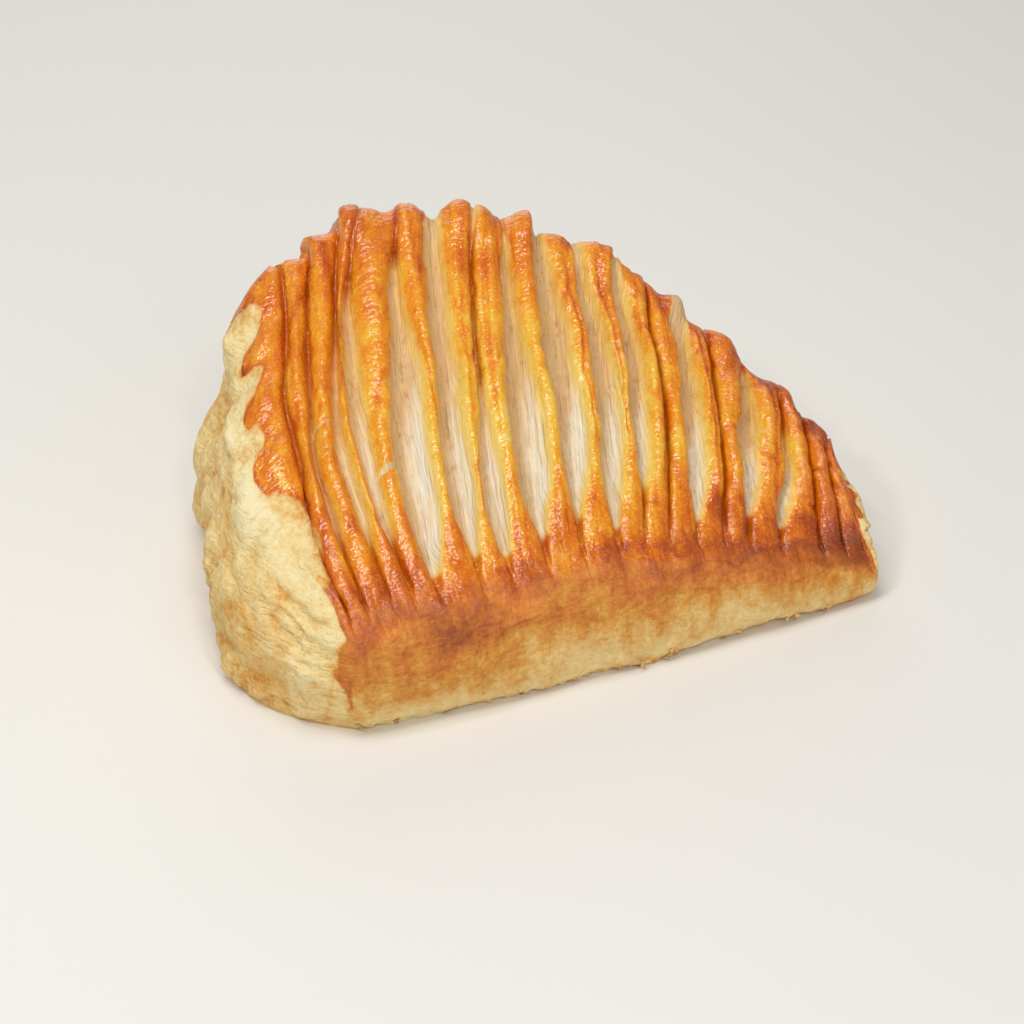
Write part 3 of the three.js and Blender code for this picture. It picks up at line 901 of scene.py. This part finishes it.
def toasting(course, share):
    """How far the glaze is baked, 0 pale to 1 dark: darker where the slits end, golden in the middle of the
    face, and darker in patches on the crest and to both ends."""
    climb = np.clip(course - 1, 0, 1)
    patches = lumps(on_skin(share, course, 9, 7, 3), 1)
    left = 1 - smooth(share, 0.2, 0.45)
    heel = 0.54 + (0.23 - 0.06 * left) * bell((course - 0.9) / 0.2)
    heel = heel + 0.12 * patches * bell((course - 1) / 0.18)
    heel = heel + 0.12 * smooth(share, 0.5, 0.72) * bell((climb - 0.08) / 0.16)
    middle = -0.2 * bell((climb - 0.42) / 0.24) * bell((share - 0.38) / 0.22)
    by_length = 0.14 * smooth(share, 0.55, 0.8) - 0.06 * (1 - smooth(share, 0.1, 0.2))
    crest = (0.1 + 0.1 * patches + by_length) * smooth(climb, 0.72, 1)
    ends = 0.08 * smooth(share, 0.82, 0.95) * smooth(course, 0.6, 1) + 0.05 * (1 - smooth(share, 0.12, 0.24))
    tip = 0.2 * bell((share - 0.94) / 0.05) * bell((climb - 0.2) / 0.25)
    return heel + middle + crest + ends + tip


def browning(course, share, foot):
    """How far the dry dough is baked, 0 pale to 1 dark: the fold darkens upwards from its flaky foot, and the
    bare dough of the face and the rim wall stays pale."""
    patches = lumps(on_skin(share, course, 10, 14, 6), 1)
    left = 1 - smooth(share, 0.2, 0.45)
    fold = mix(0.35, 0.81, smooth(course + 0.07 * patches + 0.08 * left, 0.1, 0.85))
    wall = mix(0.34, 0.39, smooth(course, 2, 2.3)) + 0.1 * smooth(course, 2.8, 3) + 0.06 * patches
    return mix(mix(fold, 0.36, foot), wall, smooth(course, 1.02, 1.1))


def glazing(course, share):
    """How far the egg wash covers the dough: all of the face, running out in patches down the fold."""
    patches = lumps(on_skin(share, course, 7, 9, 9), 1)
    return smooth(course + 0.12 * patches, 0.58, 1.06)


def index_faces(index):
    """Quads of a grid of point numbers."""
    return np.stack((index[:-1, :-1], index[1:, :-1], index[1:, 1:], index[:-1, 1:]), axis=-1).reshape(-1, 4)


def end_index(line, start):
    """Point numbers of an end: its edges are the body's own line, and its foot and inside are new."""
    rows, columns = SIDE_STEPS + 1, FACE_STEPS + 1
    index = np.empty((rows, columns), int)
    index[:, 0] = line[:rows]
    index[-1, :] = line[rows - 1: rows + columns - 1]
    index[:, -1] = line[rows + columns - 2:][::-1]
    index[INNER] = start + np.arange((rows - 1) * (columns - 2)).reshape(rows - 1, columns - 2)
    return index


def join(on_body, on_ends):
    """One array for all points: those of the body, then the new ones of each end."""
    tail = on_body.shape[2:]
    parts = [on_end[INNER].reshape(-1, *tail) for on_end in on_ends]
    return np.concatenate((on_body.reshape(-1, *tail), *parts))


def crust_values(body, ends):
    """What the crust reads at each point, with lengths in millimetres. The ends have no slits."""
    grain = points(body.share * body.length / MM, body.course * COURSE_SPAN, 0)
    values = {
        "bake": join(toasting(body.course, body.share), [0.62 + 0.1 * end.rise for end in ends]),
        "bloom": join(browning(body.course, body.share, body.flaky_foot()), [end.bloom for end in ends]),
        "glaze": join(glazing(body.course, body.share), [end.glaze for end in ends]),
        "inside": join(body.inside / MM, [np.full(end.pale.shape, FAR_INSIDE) for end in ends]),
        "pale": join(body.pale / MM, [end.pale / MM for end in ends]),
        "puff": join(body.relief / MM, [end.relief / MM for end in ends]),
        "crimp": join(body.crimp, [end.crimp for end in ends]),
        "grain": join(grain, [end.grain for end in ends]),
    }
    for name in ("opened", "scored", "cross", "moist"):
        values[name] = join(getattr(body, name), [np.zeros(end.pale.shape) for end in ends])
    return values


def put_values(mesh, values):
    """Adds each named array to the mesh, as a number or a vector on its points."""
    for name, value in values.items():
        vector = value.ndim == 2
        layer = mesh.attributes.new(name, "FLOAT_VECTOR" if vector else "FLOAT", "POINT")
        layer.data.foreach_set("vector" if vector else "value", value.astype(np.float32).ravel())


def make_object(name, vertices, faces, material, values):
    """A piece at the origin from its points and faces, with its values and its material."""
    mesh = bpy.data.meshes.new(name)
    mesh.from_pydata(vertices, [], faces)
    put_values(mesh, values)
    mesh.materials.append(material)
    piece = bpy.data.objects.new(name, mesh)
    bpy.context.scene.collection.objects.link(piece)
    return piece


class Value:
    """A number socket of a material: arithmetic on it adds Math nodes."""

    def __init__(self, paint, socket):
        self.paint = paint
        self.socket = socket

    def math(self, operation, *values):
        """A Math node on numbers or sockets."""
        return self.paint.node("ShaderNodeMath", {"operation": operation}, dict(enumerate(values)))

    def __add__(self, other):
        return self.math("ADD", self, other)

    __radd__ = __add__

    def __sub__(self, other):
        return self.math("SUBTRACT", self, other)

    def __rsub__(self, other):
        return self.math("SUBTRACT", other, self)

    def __mul__(self, other):
        return self.math("MULTIPLY", self, other)

    __rmul__ = __mul__

    def __truediv__(self, other):
        return self.math("DIVIDE", self, other)

    def __rtruediv__(self, other):
        return self.math("DIVIDE", other, self)

    def step(self, low, high):
        """Soft step from 0 at low to 1 at high."""
        settings = {"interpolation_type": "SMOOTHSTEP"}
        sockets = {"Value": self, "From Min": low, "From Max": high}
        return self.paint.node("ShaderNodeMapRange", settings, sockets)


class Paint:
    """A node material: each method adds nodes and gives back a socket."""

    def __init__(self, name):
        self.material = bpy.data.materials.new(name)
        self.material.use_nodes = True
        self.tree = self.material.node_tree
        self.surface = self.tree.nodes["Principled BSDF"]

    def node(self, kind, settings, sockets, output=0):
        """A node of a kind: its settings first, then the values or links of its sockets."""
        node = self.tree.nodes.new(kind)
        for name, setting in settings.items():
            if name == "stops":
                self.fill_ramp(node.color_ramp, setting)
            else:
                setattr(node, name, setting)
        for name, value in sockets.items():
            self.feed(node.inputs[name], value)
        return Value(self, node.outputs[output])

    def feed(self, socket, value):
        """Sets a socket to a number or colour, or links it."""
        if isinstance(value, Value):
            self.tree.links.new(value.socket, socket)
        elif hasattr(value, "__len__") and socket.type == "RGBA":
            socket.default_value = (*value, 1)
        else:
            socket.default_value = value

    def fill_ramp(self, ramp, stops):
        """Gives a colour ramp its stops, each a place and a colour."""
        ramp.interpolation = "LINEAR"
        while len(ramp.elements) < len(stops):
            ramp.elements.new(1)
        for element, (place, colour) in zip(ramp.elements, stops):
            element.position = place
            element.color = (*colour, 1)

    def attribute(self, name):
        """A number from each point of the mesh."""
        return self.node("ShaderNodeAttribute", {"attribute_name": name}, {}, "Fac")

    def attribute_vector(self, name):
        """A vector from each point of the mesh."""
        return self.node("ShaderNodeAttribute", {"attribute_name": name}, {}, "Vector")

    def scaled(self, vector, x, y, z):
        """A vector with each part multiplied."""
        return self.node("ShaderNodeVectorMath", {"operation": "MULTIPLY"}, {0: vector, 1: (x, y, z)})

    def noise(self, vector, scale, detail=2.0, roughness=0.5):
        """Cloudy pattern from 0 to 1."""
        sockets = {"Vector": vector, "Scale": scale, "Detail": detail, "Roughness": roughness}
        return self.node("ShaderNodeTexNoise", {}, sockets)

    def ramp(self, value, stops):
        """Colour from a ramp's stops."""
        return self.node("ShaderNodeValToRGB", {"stops": stops}, {"Fac": value})

    def blend(self, low, high, part):
        """Colour from low at 0 to high at 1."""
        settings = {"data_type": "RGBA", "clamp_factor": True}
        return self.node("ShaderNodeMix", settings, {0: part, 6: low, 7: high}, 2)

    def bump(self, height, depth):
        """Direction of a surface with a fine relief of some depth."""
        return self.node("ShaderNodeBump", {}, {"Height": height, "Distance": depth})


class CrustPaint(Paint):
    """Baked puff pastry: glaze toasted by its place, pale cut dough in the slits, dry dough elsewhere."""

    def __init__(self, colours):
        super().__init__("crust")
        self.colours = colours
        place = self.node("ShaderNodeTexCoord", {}, {}, "Object")
        self.place = self.scaled(place, 1 / MM, 1 / MM, 1 / MM)
        self.grain = self.attribute_vector("grain")
        self.marks = SimpleNamespace(**{name: self.attribute(name) for name in CRUST_VALUES})
        self.blotch = self.on_place(0.12, 2, 0.5)
        self.mottle = self.on_place(0.32, 3, 0.6)
        self.speck = self.on_place(1.3, 2, 0.6)
        self.streak = self.on_grain(0.9, 0.07)
        self.sheets = self.on_grain(1.9, 0.09)
        self.ragged = self.on_grain(0.5, 0.4, 4, 0.65) * 1.5
        # The left side of each bar and slit faces the key light. The glaze is painted lighter and more golden
        # there as painted light.
        self.lit_left_side = self.marks.cross.step(-0.6, 0.6)
        self.dry = (self.marks.pale + self.ragged * 0.8).step(-0.3, 0.4)
        self.flaky = self.noise(self.scaled(self.place, 1, 1, 1.8), 0.7, 4, 0.65) - 0.5
        self.layers = (self.noise(self.scaled(self.place, 0.15, 0.15, 1.3), 1, 3, 0.6) - 0.5) * self.dry
        self.finish()

    def on_place(self, scale, detail, roughness):
        """Cloudy pattern about 0, with a scale for each millimetre."""
        return self.noise(self.place, scale, detail, roughness) - 0.5

    def on_grain(self, across, up, detail=3, roughness=0.6):
        """Cloudy pattern about 0, drawn out along the bars."""
        return self.noise(self.scaled(self.grain, across, up, 1), 1, detail, roughness) - 0.5

    def finish(self):
        """Lays the three doughs over each other, glossy where glazed and matt elsewhere, in fine relief."""
        glazed = self.marks.glaze * (1 - self.dry)
        skin = self.blend(self.dry_dough(), self.glazed_crust(), glazed)
        cut = self.cut_part()
        wet = glazed * (1 - cut)
        roughness = 0.85 - wet * (0.7 + self.mottle * 0.2) - (1 - wet) * (1 - self.dry) * 0.2
        self.feed(self.surface.inputs["Base Color"], self.blend(skin, self.cut_dough(), cut))
        self.feed(self.surface.inputs["Roughness"], roughness)
        self.surface.inputs["Specular IOR Level"].default_value = 0.65
        self.feed(self.surface.inputs["Normal"], self.bump(self.fine_relief(wet, cut), MM))

    def glazed_crust(self):
        """Glaze, golden along the left edge of each bar, where it thins out to the cut dough and where
        painted light falls on the lit side, a little lighter over the lit left half as painted light, and
        dark where a slit stayed shut."""
        marks, colours = self.marks, self.colours
        thin = marks.opened * self.lit_left_side * (1 - marks.moist * 0.75)
        # Thin glaze at a bar's edge, kept to the lit left side only, so it is partly painted light.
        thin_and_lit_fringe = (1.3 - marks.inside + self.ragged * 0.9).step(0, 1.5) * thin
        rim = (marks.pale + self.ragged).step(-2.2, 0.0) * 0.14
        # Pale bubbles in the glaze, which also serve as painted glints: lighter dots that stand in for
        # highlights.
        bubbles_and_glints = self.noise(self.place, 1.9, 1, 0.5).step(0.56, 0.68)
        toast = marks.bake - bubbles_and_glints * 0.13 - thin_and_lit_fringe * 0.24 - self.lit_left_side * 0.06
        toast = toast + self.blotch * 0.4 + self.mottle * 0.3 + self.streak * 0.42 + self.speck * 0.16
        glazed = self.ramp(toast + marks.crimp * 0.24 + rim, (
            (0.16, colours.honey), (0.34, colours.golden), (0.52, colours.orange),
            (0.68, colours.amber), (0.84, colours.russet), (1.0, colours.burnt),
        ))
        shut = (self.ragged * 0.5 - marks.inside).step(-0.5, 0.3) * (1 - marks.opened) * marks.scored
        return self.blend(glazed, colours.russet, shut * 0.55)

    def dry_dough(self):
        """Dough of the fold, the ends and the rim wall, darker just past the glaze's edge and toasted on
        leaves' edges.
        """
        marks, colours, dry = self.marks, self.colours, self.dry
        past = marks.pale + self.ragged
        beside = past.step(-1.5, 0.2) * (1 - past.step(0.2, 2.6))
        streaks = self.streak * 0.2 + self.on_grain(0.22, 0.035, 2, 0.5) * 0.14
        browned = marks.bloom + (self.blotch * 0.5 + self.mottle * 0.6) * 0.55 + self.flaky * 0.38
        browned = browned + self.speck * (0.14 + dry * 0.2) + streaks * (1 - dry * 0.6)
        browned = browned + marks.puff * 0.08 + marks.crimp * (0.24 - dry * 0.12)
        dough = self.ramp(browned + beside * 0.12 + self.layers * 0.4, (
            (0.1, colours.cream), (0.3, colours.straw), (0.48, colours.biscuit),
            (0.64, colours.tan), (0.8, colours.caramel), (1.0, colours.umber),
        ))
        flecks = self.noise(self.scaled(self.place, 1, 1, 1.5), 0.9, 3, 0.6).step(0.6, 0.72)
        return self.blend(dough, colours.straw, flecks * (0.08 + dry * 0.22))

    def cut_part(self):
        """Where the cut dough shows: past the ragged edge of a bar, which is softer to its left."""
        edge = (self.ragged * 0.8 - self.marks.inside) / (0.2 + self.lit_left_side * 0.4)
        return edge.step(-1, 1) * self.marks.opened * self.marks.scored * (1 - self.dry)

    def cut_dough(self):
        """Dough in the open slits: a lit copy of the cut dough on the wall to the right as painted light,
        moist floor with painted shade to the left, fine sheets along both.
        """
        marks, colours = self.marks, self.colours
        # The lit right wall and the shaded floor to the left are painted light and painted shade; higher up,
        # the moist floor colour takes over.
        wall = (marks.cross + self.sheets * 1.6 + self.ragged * 0.4 - marks.moist * 1.3).step(-0.5, 0.5)
        dough = self.blend(colours.shaded_slit_floor, colours.cut_dough, wall)
        dough = self.blend(dough, colours.biscuit, self.sheets.step(-0.02, 0.2) * 0.55)
        pores = self.on_grain(1.1, 0.45, 3, 0.7).step(0.1, 0.2)
        dough = self.blend(dough, colours.pore, pores * (1 - wall * 0.75) * 0.6)
        blots = self.on_grain(0.55, 0.22).step(0.05, 0.2)
        dough = self.blend(dough, colours.pore, blots * (1 - wall) * 0.6)
        # Honey rind along the bars' edges, wider toward each slit's lit side as painted light.
        rind = (marks.inside + self.ragged * 0.7 + self.sheets * 1.2 + marks.cross * 0.5).step(-1.0, 0.5)
        return self.blend(dough, colours.honey, rind * 0.8)

    def fine_relief(self, wet, cut):
        """Blisters and ripples in the glaze, flakes, fibres and layers in dry dough, sheets in the slits."""
        blister = self.on_place(0.8, 1, 0.5)
        ripple = self.on_grain(0.45, 1.1, 1, 0.5)
        fibre = self.on_grain(1.6, 0.3)
        glint = self.on_place(1.5, 1, 0.5)
        glazed = blister * 0.34 + ripple * (0.12 + self.mottle.step(-0.05, 0.15) * 0.2) + glint * 0.1
        dough = self.flaky * 0.75 + fibre * 0.2 + self.layers * 0.6
        return glazed * wet + dough * (1 - wet) * (1 - cut) + self.sheets * cut * 0.8


def shape_pastry(settings):
    """The body of the pastry and its two ends."""
    body = PastryBody(settings)
    return body, [PastryEnd(body, settings, blunt) for blunt in (True, False)]


class TURNOVER_OT_bake_pastry(bpy.types.Operator):
    """Make the pastry: fold, scored face, rim wall, two ends and base as one closed skin"""

    bl_idname = "turnover.bake_pastry"
    bl_label = "Bake pastry"

    def execute(self, context):
        settings = context.scene.turnover
        body, ends = shape_pastry(settings)
        index = np.arange(body.share.size).reshape(body.share.shape)
        blunt = end_index(index[0], index.size)
        narrow = end_index(index[-1], index.size + blunt[INNER].size)
        vertices = join(body.grid, [end.grid for end in ends]) - MIDDLE
        vertices[:, 2] = np.maximum(vertices[:, 2], 0)
        sides = np.concatenate([index_faces(part) for part in (index, blunt, narrow[:, ::-1])])
        outline = np.concatenate((index[:, 0], narrow[0, 1:-1], index[::-1, -1], blunt[0, -2:0:-1]))
        base = outline[np.array(tessellate_polygon([vertices[outline].tolist()]))][:, ::-1]
        faces = sides.tolist() + base.tolist()
        material = CrustPaint(settings.colours).material
        piece = make_object("pastry_crust", vertices.tolist(), faces, material, crust_values(body, ends))
        mesh = piece.data
        mesh.polygons.foreach_set("use_smooth", np.arange(len(mesh.polygons)) < len(sides))
        mesh.validate()
        mesh.update()
        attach(piece, "root")
        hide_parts("pastry")
        return {"FINISHED"}


def surface_frames(grid, columns, rows):
    """Points of a grid with their directions along it, up it and out of it, at the given columns and rows."""
    along = unit(np.gradient(grid, axis=0)[columns, rows])
    out = grid_normals(grid)[columns, rows]
    return grid[columns, rows], along, unit(np.cross(out, along)), out


def flake_shells(random, frames, sizes):
    """Curled flakes: a flat ring of points carried along each flake, pinched to a point at both ends,
    its middle line bent up as a parabola and its edges cupped."""
    place, along, up, out = (x[:, None, None] for x in frames)
    count = len(place)
    draw = random.uniform(0, 1, (FLAKE_DRAWS, count))[..., None, None]
    yaw, tilt = 2 * pi * draw[0], radians(2) + radians(16) * draw[1]
    forward = along * np.cos(yaw)[..., None] + up * np.sin(yaw)[..., None]
    side = np.cross(out, forward)
    lifted = forward * np.cos(tilt)[..., None] + out * np.sin(tilt)[..., None]
    normal = np.cross(lifted, side)
    length = sizes.length * (0.4 + 1.3 * draw[2] ** 2)
    width = length * (0.3 + 0.3 * draw[3])
    step = np.arange(FLAKE_RINGS + 2)[None, :, None] / (FLAKE_RINGS + 1)
    turned = 2 * pi * np.arange(FLAKE_SIDES)[None, None, :] / FLAKE_SIDES
    jag = 0.7 + 0.6 * random.uniform(0, 1, (count, FLAKE_RINGS + 2, FLAKE_SIDES))
    pinch = np.sin(pi * step) ** 0.7
    x = length * (step - 0.1) + 0 * turned
    y = width * pinch * np.cos(turned) * jag
    z = sizes.thickness * pinch * np.sin(turned) / 2 + 0.5 * length * (draw[4] - 0.3) * step**2
    z = z + (draw[5] - 0.5) * y * y / width
    return place + x[..., None] * lifted + y[..., None] * side + z[..., None] * normal


class TURNOVER_OT_scatter_flakes(bpy.types.Operator):
    """Scatter loose flakes along the foot, the toe and the ends"""

    bl_idname = "turnover.scatter_flakes"
    bl_label = "Scatter flakes"

    def execute(self, context):
        settings = context.scene.turnover
        sizes = settings.flakes
        random = np.random.default_rng(sizes.seed)
        body, ends = shape_pastry(settings)
        grids = {
            "body": body.grid,
            "blunt": ends[0].grid.swapaxes(0, 1)[::-1],
            "narrow": ends[1].grid.swapaxes(0, 1),
        }
        frames = []
        for name, part, low_column, high_column, low_row, high_row in FLAKE_ZONES:
            grid = grids[name]
            size = (round(sizes.count * part), 2)
            drawn = random.uniform((low_column, low_row), (high_column, high_row), size)
            columns, rows = (drawn * (np.array(grid.shape[:2]) - 1)).astype(int).T
            frames.append(surface_frames(grid, columns, rows))
        frames = [np.concatenate(kind) for kind in zip(*frames)]
        shells = flake_shells(random, frames, sizes) - MIDDLE
        shells[..., 2] = np.maximum(shells[..., 2], 0.02 * MM)
        count, rings, round_each = shells.shape[:3]
        index = np.arange(count * rings * round_each).reshape(count, rings, round_each)
        around = np.roll(index, -1, axis=2)
        faces = np.stack((index[:, :-1], around[:, :-1], around[:, 1:], index[:, 1:]), axis=-1).reshape(-1, 4)
        vertices = shells.reshape(-1, 3)
        values = {name: np.zeros(len(vertices)) for name in CRUST_VALUES}
        values["bloom"] = np.repeat(random.uniform(0.2, 0.62, count), rings * round_each)
        values["grain"] = vertices / MM
        values["inside"] = values["pale"] = np.full(len(vertices), FAR_INSIDE)
        material = bpy.data.materials["crust"]
        piece = make_object("loose_flakes", vertices.tolist(), faces.tolist(), material, values)
        weld(piece.data)
        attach(piece, "root")
        return {"FINISHED"}


def weld(mesh):
    """Merges the points that lie on one spot at the tips of the flakes."""
    shape = bmesh.new()
    shape.from_mesh(mesh)
    bmesh.ops.remove_doubles(shape, verts=shape.verts, dist=1e-7)
    bmesh.ops.recalc_face_normals(shape, faces=shape.faces)
    shape.to_mesh(mesh)
    shape.free()
    mesh.polygons.foreach_set("use_smooth", np.ones(len(mesh.polygons), bool))
    mesh.update()


class TURNOVER_OT_set_stage(bpy.types.Operator):
    """Set the pale floor, the soft lights and the camera"""

    bl_idname = "turnover.set_stage"
    bl_label = "Set stage"

    def execute(self, context):
        stage = context.scene.turnover.stage
        self.lay_floor(stage)
        for name, sides, place in LIGHTS:
            self.hang_light(name, getattr(stage, name), sides, Vector(place))
        for number, right in enumerate(STRIP_PLACES):
            place = Vector((right, STRIP_BACK, STRIP_HEIGHT))
            self.hang_light(f"strip_{number}", stage.top / len(STRIP_PLACES), STRIP_SIDES, place)
        self.light_sky(context.scene, stage)
        self.place_camera(context.scene, stage)
        context.scene.view_settings.view_transform = "Standard"
        return {"FINISHED"}

    def lay_floor(self, stage):
        """A square floor, very slightly mottled."""
        paint = Paint("floor")
        paint.surface.inputs["Roughness"].default_value = 0.6
        speck = paint.noise(paint.node("ShaderNodeTexCoord", {}, {}, "Object"), 6, 2)
        tone = paint.blend(stage.floor, [0.97 * x for x in stage.floor], speck)
        paint.feed(paint.surface.inputs["Base Color"], tone)
        corners = FLOOR_HALF * np.array(((-1, -1, 0), (1, -1, 0), (1, 1, 0), (-1, 1, 0)))
        floor = make_object("floor", corners.tolist(), [(0, 1, 2, 3)], paint.material, {})

    def hang_light(self, name, watts, sides, place):
        """A soft rectangular light that faces the pastry, its second side running back from the fold."""
        lamp = bpy.data.lights.new(name, "AREA")
        lamp.energy = watts
        lamp.shape = "RECTANGLE"
        lamp.size, lamp.size_y = sides
        light = bpy.data.objects.new(name, lamp)
        away = (place - LIT_POINT).normalized()
        right = Vector((0, 1, 0)).cross(away).normalized()
        turned = Matrix((right, away.cross(right), away)).transposed().to_4x4()
        light.matrix_world = Matrix.Translation(place) @ turned
        bpy.context.scene.collection.objects.link(light)

    def light_sky(self, scene, stage):
        """Even white light from all round."""
        world = bpy.data.worlds.new("studio")
        world.use_nodes = True
        world.node_tree.nodes["Background"].inputs["Color"].default_value = (1, 1, 1, 1)
        world.node_tree.nodes["Background"].inputs["Strength"].default_value = stage.sky
        scene.world = world

    def place_camera(self, scene, stage):
        """A level camera that looks down on the pastry from the front of its blunt end."""
        turned, raised = stage.azimuth, stage.elevation
        back = Vector((sin(turned) * cos(raised), -cos(turned) * cos(raised), sin(raised)))
        right = Vector((cos(turned), sin(turned), 0))
        up = back.cross(right)
        aim = Vector((stage.aim_right, stage.aim_back, 0))
        place = aim + back * stage.away - right * stage.shift_left + up * stage.shift_up
        data = bpy.data.cameras.new("view")
        data.lens = stage.lens
        data.sensor_width = SENSOR_WIDTH
        camera = bpy.data.objects.new("view", data)
        camera.matrix_world = Matrix.Translation(place) @ Matrix((right, up, back)).transposed().to_4x4()
        scene.collection.objects.link(camera)
        scene.camera = camera


class TURNOVER_PT_sidebar(bpy.types.Panel):
    """Turnover tools"""

    bl_label = "Turnover"
    bl_space_type = "VIEW_3D"
    bl_region_type = "UI"
    bl_category = "Turnover"

    def draw(self, context):
        for step in (TURNOVER_OT_bake_pastry, TURNOVER_OT_scatter_flakes, TURNOVER_OT_set_stage):
            self.layout.operator(step.bl_idname)


CLASSES = (
    FoldSizes, RimOutline, BaseOutline, ScoringSizes, WallSizes, FlakeSizes, CrustColours, StageSettings,
    TurnoverSettings, TURNOVER_OT_bake_pastry, TURNOVER_OT_scatter_flakes, TURNOVER_OT_set_stage,
    TURNOVER_PT_sidebar,
)


def register():
    """Registers the classes and gives the scene its settings."""
    for each in CLASSES:
        bpy.utils.register_class(each)
    bpy.types.Scene.turnover = bpy.props.PointerProperty(type=TurnoverSettings)


def unregister():
    """Takes the settings and the classes away again."""
    del bpy.types.Scene.turnover
    for each in reversed(CLASSES):
        bpy.utils.unregister_class(each)


def main():
    """Makes the pieces and the stage in order."""
    register()
    bpy.ops.turnover.bake_pastry()
    bpy.ops.turnover.scatter_flakes()
    bpy.ops.turnover.set_stage()


if __name__ == "__main__":
    main()
